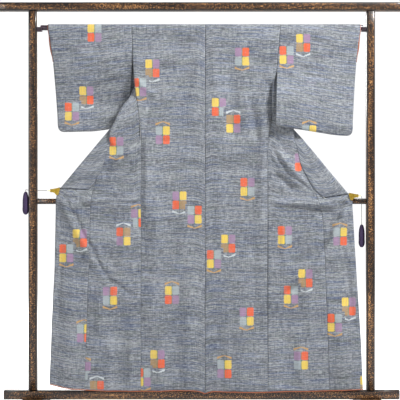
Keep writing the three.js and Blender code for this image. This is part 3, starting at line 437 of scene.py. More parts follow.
    # The bird: two wings that rise outwards from a dip, thinnest in the middle.
    wing = add(tree, MATH, {0: abs_u, 1: -0.36, 2: v}, operation="MULTIPLY_ADD")
    wing = add(tree, MATH, {0: add(tree, MATH, {0: wing, 1: 0.0575}, operation="ADD")}, operation="ABSOLUTE")
    wing = add(tree, MATH, {0: abs_u, 1: -0.11, 2: wing}, operation="MULTIPLY_ADD")
    tip = add(tree, MATH, {0: abs_u, 1: 0.029}, operation="SUBTRACT")
    wing = add(tree, MATH, {0: wing, 1: tip}, operation="MAXIMUM")
    wing = add(tree, "ShaderNodeMapRange", {
        "Value": wing, "From Min": 0.0004, "From Max": 0.0026, "To Min": 0.9, "To Max": 0.0})
    has_bird = add(tree, MATH, {0: bird_kind, 1: 1.5}, operation="LESS_THAN")
    wing = add(tree, MATH, {0: wing, 1: has_bird}, operation="MULTIPLY")
    bird = add(tree, "ShaderNodeMix", {0: add(tree, MATH, {0: bird_kind, 1: 0.5}, operation="GREATER_THAN"),
                                       6: colour("#adb3b6"), 7: colour("#a98656")}, data_type="RGBA")
    base = add(tree, "ShaderNodeMix", {0: wing, 6: base.outputs[2], 7: bird.outputs[2]}, data_type="RGBA")

    height = add(tree, MATH, {0: noises["slub"], 1: 0.6, 2: noises["nub"]}, operation="MULTIPLY_ADD")
    bump = add(tree, "ShaderNodeBump", {"Height": height, "Strength": 0.5, "Distance": 0.0012})
    finish_material(tree, {"Base Color": base.outputs[2], "Roughness": 0.82, "Specular IOR Level": 0.25,
                           "Sheen Weight": 0.12, "Sheen Roughness": 0.5, "Normal": bump})
    return material


def lining_silk(name, split_height):
    """Smooth filament silk, dyed rust orange below the split height and left off-white above it.

    Its flat threads give an even face with a slight sheen.
    """
    material, tree = new_material(name)
    place = add(tree, "ShaderNodeTexCoord")
    height = add(tree, "ShaderNodeSeparateXYZ", {0: place.outputs["Object"]})
    weave = streaks(tree, place.outputs["Object"], (30, 30, 400))
    rust = colour(bpy.context.scene.kimono_cloth.lining)
    deep = (*(share * 0.72 for share in rust[:3]), 1.0)
    warm = add(tree, RAMP, {"Fac": weave}, [(0.3, deep), (0.7, rust)])
    plain = add(tree, RAMP, {"Fac": weave}, [(0.3, colour("#cfcabf")), (0.7, colour("#ece8df"))])
    above = add(tree, MATH, {0: height.outputs["Z"], 1: split_height}, operation="GREATER_THAN")
    shade = add(tree, "ShaderNodeMix", {0: above, 6: warm.outputs["Color"], 7: plain.outputs["Color"]},
                data_type="RGBA")
    bump = add(tree, "ShaderNodeBump", {"Height": weave, "Strength": 0.25, "Distance": 0.0006})
    finish_material(tree, {"Base Color": shade.outputs[2], "Roughness": 0.55, "Sheen Weight": 0.15,
                           "Normal": bump})
    return material


def speckled_lacquer(name, along):
    """Brushed lacquer over wood, sprinkled with gold powder and coated clear.

    It gives a dark brown ground, gold-brown specks and a soft gloss. Real powder is too fine to
    show, so the specks are drawn about 3 mm apart.
    """
    material, tree = new_material(name)
    place = add(tree, "ShaderNodeTexCoord")
    fleck = add(tree, NOISE, {"Vector": place.outputs["Object"], "Scale": 300.0, "Detail": 2.0,
                              "Roughness": 0.75})
    cloud = streaks(tree, place.outputs["Object"], along)
    mixed = add(tree, MATH, {0: cloud, 1: 0.35, 2: fleck}, operation="MULTIPLY_ADD")
    # Painted shade: along the rounded edges, where the face turns from Y, the colour is darkened towards the
    # dark ground.
    facing = add(tree, "ShaderNodeSeparateXYZ", {0: place.outputs["Normal"]})
    flat = add(tree, MATH, {0: facing.outputs["Y"], 1: 2.0}, operation="POWER")
    flat = add(tree, MATH, {0: flat, 1: 0.5}, operation="SUBTRACT")
    flat = add(tree, MATH, {0: flat}, operation="ABSOLUTE")
    flat = add(tree, "ShaderNodeMapRange", {
        "Value": flat, "From Min": 0.2, "From Max": 0.48, "To Min": 0.12, "To Max": 0.0})
    mixed = add(tree, MATH, {0: mixed, 1: flat}, operation="SUBTRACT")
    brown = colour(bpy.context.scene.kimono_stand.lacquer)
    ground = (*(share * 0.1 for share in brown[:3]), 1.0)
    shade = add(tree, RAMP, {"Fac": mixed}, [
        (0.60, ground), (0.69, brown), (0.76, colour("#5e3a22")), (0.83, colour("#c08f5a"))])
    bump = add(tree, "ShaderNodeBump", {"Height": fleck, "Strength": 0.15, "Distance": 0.0005})
    finish_material(tree, {"Base Color": shade, "Roughness": 0.4, "Coat Weight": 0.45, "Coat Roughness": 0.14,
                           "Specular IOR Level": 0.35, "Normal": bump})
    return material


def plain_finish(name, dark, light, scale, roughness, metallic=0.0, depth=0.0004, strength=0.2):
    """A finish of two close shades with a fine grain."""
    material, tree = new_material(name)
    place = add(tree, "ShaderNodeTexCoord")
    grain = add(tree, NOISE, {"Vector": place.outputs["Object"], "Scale": scale, "Detail": 3.0})
    shade = add(tree, RAMP, {"Fac": grain}, [(0.35, colour(dark)), (0.68, colour(light))])
    bump = add(tree, "ShaderNodeBump", {"Height": grain, "Strength": strength, "Distance": depth})
    finish_material(tree, {"Base Color": shade, "Roughness": roughness, "Metallic": metallic, "Normal": bump})
    return material


# Where the lining changes colour, and a height above the whole object, both in metres
LINING_SPLIT = 0.53
ABOVE_ALL = 9.0
FINISHES = {}


def finish(name):
    """The named material, made when it is first asked for."""
    makers = {
        "cloth": tsumugi_silk,
        "lining": lambda: lining_silk("lining silk", LINING_SPLIT),
        "cuff": lambda: lining_silk("cuff lining silk", ABOVE_ALL),
        "lacquer_bar": lambda: speckled_lacquer("speckled lacquer, bars", (4, 60, 60)),
        "lacquer_post": lambda: speckled_lacquer("speckled lacquer, posts", (60, 60, 4)),
        # Black lacquer with a purple cast: cloth sliding over it gives a dark, even gloss.
        "dark_rod": lambda: plain_finish("polished black lacquer", "#1b1119", "#3a2735", 60.0, 0.28),
        # Thin gold plate on stamped brass: a warm metal shine, slightly worn.
        "gold": lambda: plain_finish("gold plated brass", "#cda338", "#f6d868", 240.0, 0.3, 1.0),
        # Twisted grey silk cord: matt, with each strand showing.
        "cord": lambda: plain_finish("twisted silk cord", "#4b4843", "#8a867c", 900.0, 0.8),
        # Purple crepe sewn round a metal weight: matt and finely crinkled.
        "weight": lambda: plain_finish("purple crepe", "#1c112c", "#3c2957", 420.0, 0.72, 0.0, 0.0008, 0.5),
    }
    if name not in FINISHES:
        FINISHES[name] = makers[name]()
    return FINISHES[name]


# ---------------------------------------------------------------- grids of cloth

def smooth(share):
    held = np.clip(share, 0.0, 1.0)
    return held * held * (3 - 2 * held)


def look(table, value):
    keys, values = zip(*table)
    return np.interp(value, keys, values)


def place(side, out, y, z):
    out, y, z = np.broadcast_arrays(np.asarray(out, float), y, z)
    return np.stack([CENTRE_X + SIDES[side] * out, y, z], axis=-1)


def with_hem(side, out, z):
    """Lets the lowest rows follow the hem's line."""
    return z + (look(HEM[side], out) - 85) * smooth((330 - z) / 245)


def back_depth(z):
    share = smooth((ROD_Z - z) / 500)
    return -(DRAPE_RADIUS + (17 - DRAPE_RADIUS) * share) - 5 * smooth((700 - z) / 600)


def clear_of_collar(side, out, z):
    """0 along the collar's seam and its end, rising to 1 a little way below them."""
    line = [(row[3], row[5]) for row in COLLAR[side][1:]] + [(COLLAR[side][-1][0], COLLAR[side][-1][2])]
    nearest = np.full(np.shape(out), np.inf)
    for (out0, z0), (out1, z1) in zip(line, line[1:]):
        along, up = out1 - out0, z1 - z0
        share = np.clip(((out - out0) * along + (z - z0) * up) / (along ** 2 + up ** 2), 0, 1)
        nearest = np.minimum(nearest, np.hypot(out - out0 - share * along, z - z0 - share * up))
    return smooth(nearest / SEAM_HOLD)


def clear_of_side_seam(side, out, z):
    """0 along the side seam below the armhole, rising to 1 beside it."""
    away = np.abs(out - look(BACK_EDGE[side], z))
    return 1 - smooth((1190 - z) / 60) * (1 - smooth(away / SEAM_HOLD))


def okumi_groove(side, out, z):
    """How far the okumi's seam is drawn in."""
    return 0.9 * np.exp(-((out - look(OKUMI_SEAM[side], z)) / 5) ** 2) * smooth((980 - z) / 60)


def built_fold(panel, wide, high):
    """The width and height that a fold of the table is built with."""
    if wide <= NARROW_WIDTH:
        gain = NARROW_GAIN
    elif wide <= MIDDLE_WIDTH:
        gain = MIDDLE_GAIN
    else:
        gain = BROAD_GAIN
    high = high * gain * PANEL_GAIN[panel]
    if panel == "front" and wide < FINE_WIDTH:
        wide = wide + FINE_WIDER
        high = high * FINE_GAIN
    if panel == "front" and FINE_WIDTH <= wide < TROUGH_WIDTH and high < 0:
        high = high * TROUGH_GAIN
    return wide, high


def relief(side, panel, out, z):
    """How far the cloth stands towards the viewer: its folds, and the slack between them."""
    total = np.zeros(np.shape(out))
    for name, out0, z0, out1, z1, wide, high in FOLDS[side]:
        if name != panel:
            continue
        wide, high = built_fold(name, wide, high)
        along = np.array([out1 - out0, z1 - z0], float)
        length = math.hypot(*along)
        share = ((out - out0) * along[0] + (z - z0) * along[1]) / length ** 2
        away = ((out - out0) * along[1] - (z - z0) * along[0]) / length
        # A real crease wanders a little and is softer at its ends.
        away = away + 3.0 * np.sin(share * 5.3 + out0 * 0.1)
        ends = smooth((share + 0.15) / 0.3) * smooth((1.15 - share) / 0.3)
        total += high * ends * np.exp(-(away / wide) ** 2)
    # The clip pinches the cloth flat.
    clip_out, clip_z = CLIP_GRIP[side]
    total = total * (1 - np.exp(-((out - clip_out) ** 2 + (z - clip_z) ** 2) / CLIP_REACH ** 2))
    seed = 1.7 if side == "left" else 4.1
    slack = (np.sin(out / 31 + seed + 0.6 * np.sin(z / 90)) * np.sin(z / 57 + seed * 2)
             + 0.7 * np.sin(out / 17 + z / 83 + seed) * np.sin(z / 29 + out / 71))
    total = total + 0.55 * slack
    if panel == "front":
        total = total * clear_of_collar(side, out, z)
    if panel != "sleeve":
        total = total * clear_of_side_seam(side, out, z)
    return total


def refine(grid, counts):
    """Puts smooth rows between a grid's rows: a cubic through the given ones."""
    step = np.diff(grid, axis=0)
    reach = np.linalg.norm(step, axis=2, keepdims=True) + 1e-6
    slope = step / reach
    tangent = np.empty_like(grid)
    tangent[0], tangent[-1] = slope[0], slope[-1]
    tangent[1:-1] = (slope[:-1] * reach[1:] + slope[1:] * reach[:-1]) / (reach[1:] + reach[:-1])
    rows = []
    for i, count in enumerate(counts):
        t = (np.arange(count) / count)[:, None, None]
        leave = (t ** 3 - 2 * t ** 2 + t) * reach[i] * tangent[i]
        arrive = (t ** 3 - t ** 2) * reach[i] * tangent[i + 1]
        rows.append((2 * t ** 3 - 3 * t ** 2 + 1) * grid[i] + leave + (3 * t ** 2 - 2 * t ** 3) * grid[i + 1]
                    + arrive)
    rows.append(grid[-1:])
    return np.concatenate(rows)


def refine_across(grid, counts):
    return refine(grid.transpose(1, 0, 2), counts).transpose(1, 0, 2)


def counts_for(grid, spacing, axis=0):
    """How many parts each interval is cut into, from its mean length."""
    step = np.linalg.norm(np.diff(grid, axis=axis), axis=2)
    return [max(1, int(round(length / spacing))) for length in step.mean(axis=1 - axis)]


def refine_both(grid, spacing):
    grid = refine(grid, counts_for(grid, spacing))
    return refine_across(grid, counts_for(grid, spacing, 1))


def yarn_map(grid, from_end=False):
    """Cloth coordinates in metres: distance along each row and down each column."""
    across = np.linalg.norm(np.diff(grid, axis=1), axis=2)
    up = np.linalg.norm(np.diff(grid, axis=0), axis=2)
    u = np.concatenate([np.zeros((len(grid), 1)), np.cumsum(across, axis=1)], axis=1)
    if from_end:
        u = u - u[:, -1:]
    v = np.concatenate([np.zeros((1, grid.shape[1])), np.cumsum(up, axis=0)], axis=0)
    return np.stack([u, v], axis=-1) * MM


def link(name, mesh, materials):
    piece = bpy.data.objects.new(name, mesh)
    bpy.context.scene.collection.objects.link(piece)
    for material in materials:
        mesh.materials.append(finish(material))
    mesh.polygons.foreach_set("use_smooth", np.ones(len(mesh.polygons), bool))
    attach(piece, "root")
    return piece


def mesh_of(name, points, faces):
    mesh = bpy.data.meshes.new(name)
    mesh.from_pydata((np.asarray(points) * MM).tolist(), [], [list(map(int, face)) for face in faces])
    mesh.validate()
    return mesh


def grid_faces(rows, columns, turned, around=False):
    at = np.arange(rows * columns).reshape(rows, columns)
    if around:
        at = np.concatenate([at, at[:, :1]], axis=1)
    quads = np.stack([at[:-1, :-1], at[:-1, 1:], at[1:, 1:], at[1:, :-1]], axis=-1)
    if turned:
        quads = quads[..., ::-1]
    return quads


def mark_cloth(mesh, region_of_face, yarn_of_vertex):
    """Writes the maps that the cloth's material reads: its yarns, and the nearest woven mark."""
    loops = np.empty(len(mesh.loops), np.int32)
    mesh.loops.foreach_get("vertex_index", loops)
    points = np.empty(len(mesh.vertices) * 3)
    mesh.vertices.foreach_get("co", points)
    points = points.reshape(-1, 3)
    faces = np.repeat(np.arange(len(mesh.polygons)), 4)
    corners = points[loops]
    middle = corners.reshape(-1, 4, 3).mean(axis=1) / MM
    local = np.tile(NO_MARK, (len(loops), 1))
    dyes = np.zeros((len(loops), 4))
    for panel, x, z, blocks, bird, bird_place in MARKS:
        up = -1 if bird_place == "over" else 1
        order = [blocks[i] for i in ((2, 3, 0, 1) if up < 0 else (0, 1, 2, 3))]
        height = (middle[:, 2] - z) * up
        near = ((region_of_face == panel) & (np.abs(middle[:, 0] - x) < MARK_HALF_WIDE)
                & (height > -MARK_REACH) & (height < MARK_ABOVE))
        chosen = near[faces]
        local[chosen, 0] = corners[chosen, 0] - x * MM + BIRD_ORDER.index(bird)
        local[chosen, 1] = (corners[chosen, 2] - z * MM) * up
        dyes[chosen] = [DYE_ORDER.index(letter) / DYE_STEPS for letter in order]
    mesh.uv_layers.new(name="cloth").data.foreach_set("uv", yarn_of_vertex[loops].ravel())
    mesh.uv_layers.new(name="kasuri").data.foreach_set("uv", local.ravel())
    mesh.color_attributes.new(name="dyes", type="FLOAT_COLOR", domain="CORNER").data.foreach_set(
        "color", dyes.ravel())


def cloth_piece(name, grid, turned, regions, yarns, keep=None, wall=None, inner="lining", extra=None,
                turned_in=None):
    """A sheet of cloth on a grid of points, as a thin wall with its lining inside."""
    rows, columns = grid.shape[:2]
    quads = grid_faces(rows, columns, turned)
    if keep is None:
        keep = np.ones(quads.shape[:2], bool)
    faces = quads[keep]
    region = np.broadcast_to(regions, quads.shape[:2])[keep]
    points = grid.reshape(-1, 3)
    yarns = yarns.reshape(-1, 2)
    if extra is not None:
        more_points, more_faces, more_yarns, more_region = extra
        points = np.concatenate([points, more_points])
        yarns = np.concatenate([yarns, more_yarns])
        faces = np.concatenate([faces, more_faces])
        region = np.concatenate([region, np.full(len(more_faces), more_region)])
    used, packed = np.unique(faces, return_inverse=True)
    mesh = mesh_of(name, points[used], packed.reshape(-1, 4))
    mark_cloth(mesh, region, yarns[used])
    piece = link(name, mesh, ["cloth", inner, "cloth", "cloth"])
    if turned_in is not None:
        # Along a free edge the cloth itself is turned to the inside.
        both_sides = np.zeros(len(mesh.polygons), np.int32)
        both_sides[:quads[keep].shape[0]] = 2 * np.broadcast_to(turned_in, quads.shape[:2])[keep]
        mesh.polygons.foreach_set("material_index", both_sides)
    solid = piece.modifiers.new("Cloth wall", "SOLIDIFY")
    solid.thickness = bpy.context.scene.kimono_cloth.wall if wall is None else wall * MM
    solid.offset = 0.0
    solid.material_offset = 1
    solid.material_offset_rim = 0
    return piece


# ---------------------------------------------------------------- body panels

NECK_COLUMNS = 3
SIDE_COLUMN = 13
FRONT_POINTS = 11
SEAM_COLUMNS = 8
# Each piece is cut from its own stretch of cloth: where it starts, in metres.
CUT_FROM = {
    "body": {"left": 0.4, "right": 5.3}, "okumi": {"left": 11.3, "right": 17.9}, "collar": 23.1,
    "over_collar": 29.7, "sleeve": {"left": 37.3, "right": 43.9},
}
HEM_OF_CLOTH = 7.0


def back_outs(side, z):
    inner = np.linspace(SEAM_GAP / 2, NECK_HALF, NECK_COLUMNS + 1)
    outer = np.linspace(NECK_HALF, look(BACK_EDGE[side], z), SIDE_COLUMN - NECK_COLUMNS + 1)
    return np.concatenate([inner, outer[1:]])


def sewn_edge(side, z):
    """The front panel's sewn edge: the collar's down to the okumi's tip, then the okumi's."""
    tip = COLLAR[side][-3]
    if z < tip[5]:
        y = look([(60, -23), (870, -18.5), (tip[5], tip[4])], z)
        return place(side, look(OKUMI_SEAM[side], z) - SEAM_GAP / 2, y, z)
    rows = sorted((row[5], row[3], row[4]) for row in COLLAR[side][1:])
    return place(side, look([(r[0], r[1]) for r in rows], z), look([(r[0], r[2]) for r in rows], z), z)


def front_row(side, side_z, side_y, past, fold_y, fold_z, tuck, sewn_z, gather):
    edge = look(BACK_EDGE[side], side_z) + (SEAM_GAP if side_y < -11 else 0)
    side_end = place(side, edge, side_y, side_z)
    sewn_end = sewn_edge(side, sewn_z)
    turn = [side_end + (sewn_end - side_end) * share for share in (0.72, 0.78, 0.85)]
    if tuck > 0:
        out = edge + past * FOLD_REACH[side]
        turn = [place(side, out - tuck * 0.7, fold_y, fold_z), place(side, out, fold_y + tuck / 2, fold_z),
                place(side, out - tuck * 0.7, fold_y + tuck, fold_z)]
    near, fold, far = turn
    away = far - sewn_end
    gapped = sewn_end + away / np.linalg.norm(away) * (1.6 if tuck > 0 else 0.3)
    points = [gapped, (gapped + far) / 2, far, fold, near]
    points += [near + (side_end - near) * k / 6 for k in range(1, 7)]
    points = np.array(points)
    share = np.linspace(0, 1, FRONT_POINTS)
    points[:, 1] += gather * np.sin(share * math.pi * 4) * np.sin(share * math.pi)
    return points


def body_grid(side):
    """The control rows of one body panel, from the back hem over the rod to the front hem."""
    rows = []
    for z in (85, *sorted(BACK_ROWS_Z)):
        outs = back_outs(side, z)
        heights = with_hem(side, outs, z)
        rows.append(place(side, outs, back_depth(heights), heights))
    rod_start = len(rows)
    for degrees in OVER_ROD:
        angle = math.radians(degrees)
        rows.append(place(side, back_outs(side, ROD_Z), -DRAPE_RADIUS * math.cos(angle),
                          ROD_Z + DRAPE_RADIUS * math.sin(angle)))
    neck = len(rows)
    rows.append(place(side, back_outs(side, NECK_Z), DRAPE_RADIUS, NECK_Z))
    for row in UPPER_FRONT:
        rows.append(front_row(side, *row))
    lower_start = len(rows)
    for z in LOWER_FRONT_Z:
        side_y = -17 - 5 * smooth((900 - z) / 800)
        points = front_row(side, z, side_y, 0, 0, 0, 0, z, 0)
        outs = (points[:, 0] - CENTRE_X) * SIDES[side]
        points[:, 2] = with_hem(side, outs, points[:, 2])
        rows.append(points)
    padded = [row if len(row) > FRONT_POINTS else np.concatenate([np.repeat(row[:1], NECK_COLUMNS, 0), row])
              for row in rows]
    return np.array(padded), rod_start, neck, lower_start


def sewn_line(side, spacing):
    """The fine line of the collar's sewn edge and, below its end, of the okumi's, by height."""
    band = refine_both(collar_grid(len(COLLAR["left"])), COLLAR_SPACING)[:, -1]
    band = band[(band[:, 0] - CENTRE_X) * SIDES[side] > NECK_HALF * 0.7]
    band = band[band[:, 2] > COLLAR[side][-3][5]]
    panel = refine_both(okumi_grid(side), spacing)[:, 0]
    line = np.concatenate([band, panel[panel[:, 2] <= COLLAR[side][-3][5]]])
    return line[np.argsort(line[:, 2])]


def fine_body(side, spacing):
    """The body panel's fine grid with its folds; also which cells are there and each row's panel."""
    coarse, rod_start, neck, lower_start = body_grid(side)
    counts = counts_for(coarse[:, NECK_COLUMNS:], spacing)
    starts = np.concatenate([[0], np.cumsum(counts)])
    main = refine(coarse[:, NECK_COLUMNS:], counts)
    inner = refine(coarse[:neck + 1, :NECK_COLUMNS], counts[:neck])
    neck_row = starts[neck]
    across = counts_for(coarse[:neck + 1], spacing, 1)
    upper = refine_across(np.concatenate([inner, main[:neck_row + 1]], axis=1), across)
    lower = refine_across(main[neck_row + 1:], across[NECK_COLUMNS:])
    pad = sum(across[:NECK_COLUMNS])
    lower = np.concatenate([np.repeat(lower[:, :1], pad, axis=1), lower], axis=1)
    grid = np.concatenate([upper, lower])
    # The sewn edge lies along the collar's and the okumi's, and the cloth beside it follows.
    seam_line = sewn_line(side, spacing)
    edge_points = grid[neck_row + 1:, pad]
    wanted = np.stack([np.interp(edge_points[:, 2], seam_line[:, 2], seam_line[:, k]) for k in (0, 1)],
                      axis=-1)
    wanted[:, 0] -= SIDES[side] * SEAM_GAP * np.sign(900 - edge_points[:, 2]).clip(0, 1)
    correction = wanted - edge_points[:, :2]
    for k in range(SEAM_COLUMNS):
        grid[neck_row + 1:, pad + k, :2] += correction * (1 - k / SEAM_COLUMNS) ** 2
    row_of = np.arange(len(grid))
    out = np.abs(grid[..., 0] - CENTRE_X)
    z = grid[..., 2]
    on_back = (row_of < starts[rod_start])[:, None]
    on_front = (row_of >= starts[lower_start] - 30)[:, None] & (row_of > neck_row)[:, None]
    shift = np.where(on_back, relief(side, "back", out, z) * smooth((1600 - z) / 60), 0.0)
    # Sewn edges are drawn in a little by their seam.
    edge = np.minimum(out, np.abs(out - look(BACK_EDGE[side], z)))
    shift -= np.where(on_back, 0.8 * np.exp(-(edge / 5) ** 2), 0.0)
    front = relief(side, "front", out, z) * smooth((1150 - z) / 90)
    front -= 0.8 * np.exp(-(np.abs(out - look(BACK_EDGE[side], z)) / 5) ** 2) * smooth((1100 - z) / 60)
    seam = look(OKUMI_SEAM[side], z)
    front -= okumi_groove(side, out, z)
    # The pressed line beside the okumi seam
    front += 0.9 * np.exp(-((out - seam + 18) / 3.5) ** 2) * smooth((960 - z) / 60)
    shift += np.where(on_front, front, 0.0)
    grid[..., 1] -= shift
    keep = np.ones((len(grid) - 1, grid.shape[1] - 1), bool)
    keep[neck_row:, :pad] = False
    regions = np.full((len(grid) - 1, 1), f"rear_{side}", dtype="<U20")
    regions[:starts[rod_start] + 4] = f"back_{side}"
    regions[starts[lower_start - 5]:] = f"front_{side}"
    return grid, keep, regions


class KIMONO_OT_body(bpy.types.Operator):
    """Make the two body panels, each one length of cloth from hem to hem over the rod"""
    bl_idname = "kimono.body"
    bl_label = "Body panels"

    def execute(self, context):
        spacing = context.scene.kimono_cloth.spacing / MM
        for side in SIDES:
            grid, keep, regions = fine_body(side, spacing)
            yarns = yarn_map(grid, from_end=True)
            # The weft lies level at both hems, so the front is measured up from its own hem.
            split = int(len(grid) * 0.52)
            yarns[split:, :, 1] = HEM_OF_CLOTH + yarns[-1:, :, 1] - yarns[split:, :, 1]
            yarns += (CUT_FROM["body"][side], 0.0)
            piece = cloth_piece(f"body_panel_{side}", grid, side == "left", regions, yarns, keep)
            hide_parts(f"body_{side}")
            front = grid[-1, int(keep.shape[1] - keep[-1].sum()):]
            linings = [
                lining_roll(f"hem_roll_back_{side}", grid[0], f"hem_lining_back_{side}"),
                lining_roll(f"hem_roll_front_{side}", front, f"hem_lining_front_{side}"),
            ]
        return {"FINISHED"}


def lining_roll(name, edge, node):
    """The lining turned to the outside as a thin roll under a hem."""
    ring = np.radians(np.arange(8) * 45)
    points = []
    for x, y, z in edge:
        points += [(x, y + 1.5 * math.cos(a), z - 2.5 + 2.0 * math.sin(a)) for a in ring]
    points = np.array(points).reshape(len(edge), 8, 3)
    piece = tube(name, points, "cuff")
    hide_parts(node)
    return piece


def tube(name, rings, material):
    """A closed solid through rings of points, its faces turned outwards."""
    rows, around = rings.shape[:2]
    faces = [list(face) for face in grid_faces(rows, around, False, around=True).reshape(-1, 4)]
    faces += [list(range(around)), list(range((rows - 1) * around, rows * around))]
    mesh = mesh_of(name, rings.reshape(-1, 3), faces)
    face_outwards(mesh)
    return link(name, mesh, [material])


def face_outwards(mesh):
    work = bmesh.new()
    work.from_mesh(mesh)
    bmesh.ops.remove_doubles(work, verts=work.verts, dist=1e-6)
    bmesh.ops.recalc_face_normals(work, faces=work.faces)
    work.to_mesh(mesh)
    work.free()


# ---------------------------------------------------------------- okumi and collar

OKUMI_COLUMNS = 6
TAKEN_IN = 3.0
TAKEN_IN_ROWS = 3
OKUMI_ROWS_Z = (905, 890, 870, 840, 780, 700, 610, 500, 380, 260, 160, 85)


def okumi_grid(side):
    ends = COLLAR[side][-3:]
    last = ends[2]
    top = [place(side, row[3] + SEAM_GAP / 2, row[4], row[5] - 0.3) for row in ends]
    for k in range(1, OKUMI_COLUMNS - 1):
        share = k / (OKUMI_COLUMNS - 2)
        top.append(place(side, last[3] + (last[0] + 8 - last[3]) * share, last[4],
                         last[5] + (last[2] - last[5]) * share - 0.3))
    rows = [np.array(top)]
    for z in OKUMI_ROWS_Z:
        if z >= last[5] - 4:
            continue
        inner = look(OKUMI_SEAM[side], z) + SEAM_GAP / 2
        out = np.linspace(inner, look(FRONT_EDGE[side], z), OKUMI_COLUMNS + 1)
        y = -18.5 - 4.5 * smooth((870 - z) / 810)
        rows.append(place(side, out, y, with_hem(side, out, z)))
    return np.array(rows)


class KIMONO_OT_okumi(bpy.types.Operator):
    """Make the two overlap panels sewn to the fronts"""
    bl_idname = "kimono.okumi"
    bl_label = "Overlap panels"

    def execute(self, context):
        spacing = context.scene.kimono_cloth.spacing / MM
        for side in SIDES:
            grid = refine_both(okumi_grid(side), spacing)
            out = np.abs(grid[..., 0] - CENTRE_X)
            shift = relief(side, "front", out, grid[..., 2])
            grid[..., 1] -= shift - okumi_groove(side, out, grid[..., 2])
            # The top edge is taken in behind the collar's seam.
            grid[0, :, 2] += TAKEN_IN
            grid[..., 1] += (COLLAR_WALL + 0.6) * (1 - smooth(np.arange(len(grid)) / TAKEN_IN_ROWS)[:, None])
            yarns = yarn_map(grid)
            yarns[..., 1] = HEM_OF_CLOTH + yarns[-1:, :, 1] - yarns[..., 1]
            yarns += (CUT_FROM["okumi"][side], 0.0)
            # Rows run downwards and columns outwards here, so the right one is the one to turn.
            piece = cloth_piece(f"overlap_panel_{side}", grid, side == "right", f"okumi_{side}", yarns)
            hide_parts(f"okumi_{side}")
            roll = lining_roll(f"hem_roll_overlap_{side}", grid[-1], f"hem_lining_okumi_{side}")
        return {"FINISHED"}


COLLAR_COLUMNS = 3
NECK_STATIONS = 5


def collar_grid(stations):
    order = [("left", row) for row in reversed(COLLAR["left"][1:stations])]
    order += [("right", row) for row in COLLAR["right"][:stations]]
    rows = []
    for side, row in order:
        free = place(side, *row[:3])
        sewn = place(side, *row[3:])
        rows.append([free + (sewn - free) * j / COLLAR_COLUMNS for j in range(COLLAR_COLUMNS + 1)])
    return np.array(rows)


class KIMONO_OT_collar(bpy.types.Operator):
    """Make the collar band and the over-collar at the back of the neck"""
    bl_idname = "kimono.collar"
    bl_label = "Collar and over-collar"

    def execute(self, context):
        grid = refine_both(collar_grid(len(COLLAR["left"])), COLLAR_SPACING)
        # The band is padded slightly between its folded edge and its seam.
        share = np.linspace(0, 1, grid.shape[1])
        stations = np.arange(len(grid))[:, None]
        unevenness = 1 + 0.5 * np.sin(stations / 7.0) * np.sin(stations / 17.0)
        puff = 1.7 * np.sin(share * math.pi) ** 0.7 * unevenness
        outer_ends = smooth((900 - np.abs(grid[..., 2] - 1900)) / 200)
        grid[..., 1] -= puff * (1 - outer_ends)
        yarns = yarn_map(grid) + (CUT_FROM["collar"], 0.0)
        piece = cloth_piece("collar_band", grid, False, "collar", yarns, wall=COLLAR_WALL, inner="cloth")
        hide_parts("collar")
        neck = refine_both(collar_grid(NECK_STATIONS), COLLAR_SPACING)
        # The over-collar lies on the band's outer side, behind the neck.
        neck[..., 1] += COLLAR_WALL / 2 + OVER_COLLAR_WALL
        yarns = yarn_map(neck) + (CUT_FROM["over_collar"], 0.0)
        over = cloth_piece("over_collar_band", neck, False, "collar", yarns, wall=OVER_COLLAR_WALL,
                           inner="cloth")
        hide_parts("over_collar")
        return {"FINISHED"}


# ---------------------------------------------------------------- sleeves

SLEEVE_COLUMNS = 9
FAR_WALL_SHOWS = 16.0


def sleeve_swing(side, out, z):
    inner, outer = look(SLEEVE_INNER[side], z), look(SLEEVE_OUTER[side], z)
    across = np.clip((out - inner) / (outer - inner), 0, 1)
    inner_y, outer_y = SLEEVE_SWING[side]
    return (inner_y + (outer_y - inner_y) * across) * smooth((1470 - z) / 150)


def sleeve_row(side, height, angle, facing):
    share = np.linspace(0, 1, SLEEVE_COLUMNS + 1)
    guess_in, guess_out = look(SLEEVE_INNER[side], 1300), look(SLEEVE_OUTER[side], 1300)
    z = look(SLEEVE_BOTTOM[side], guess_in + (guess_out - guess_in) * share) + height
    if angle is not None:
        z = np.full(len(share), ROD_Z)
    below_corner = SLEEVE_CORNER - min(height, SLEEVE_CORNER)
    rounded = SLEEVE_CORNER - math.sqrt(SLEEVE_CORNER ** 2 - below_corner ** 2)
    inner = look(SLEEVE_INNER[side], z) + SEAM_GAP
    if facing > 0 and angle is None:
        inner = inner - FAR_WALL_SHOWS * smooth((1500 - z) / 60) * smooth((z - 1215) / 60)
    outer = look(SLEEVE_OUTER[side], z) - rounded
    out = inner + (outer - inner) * share
    edge = np.minimum(1, 0.42 + (1 - share) * SLEEVE_COLUMNS * 0.4)
    squeeze = np.where(z > CUFF_Z, 1, np.minimum(edge, min(1, 0.42 + height / 14)))
    radians = math.radians(angle or 0)
    half = np.maximum(look(SLEEVE_DEPTH, z) * squeeze - 1, 0.4) * math.cos(radians)
    if height == 0:
        half = half * 0
    top = z if angle is None else ROD_Z + (look(SLEEVE_DEPTH, ROD_Z) - 1) * math.sin(radians)
    return place(side, out, sleeve_swing(side, out, z) + facing * half, top)


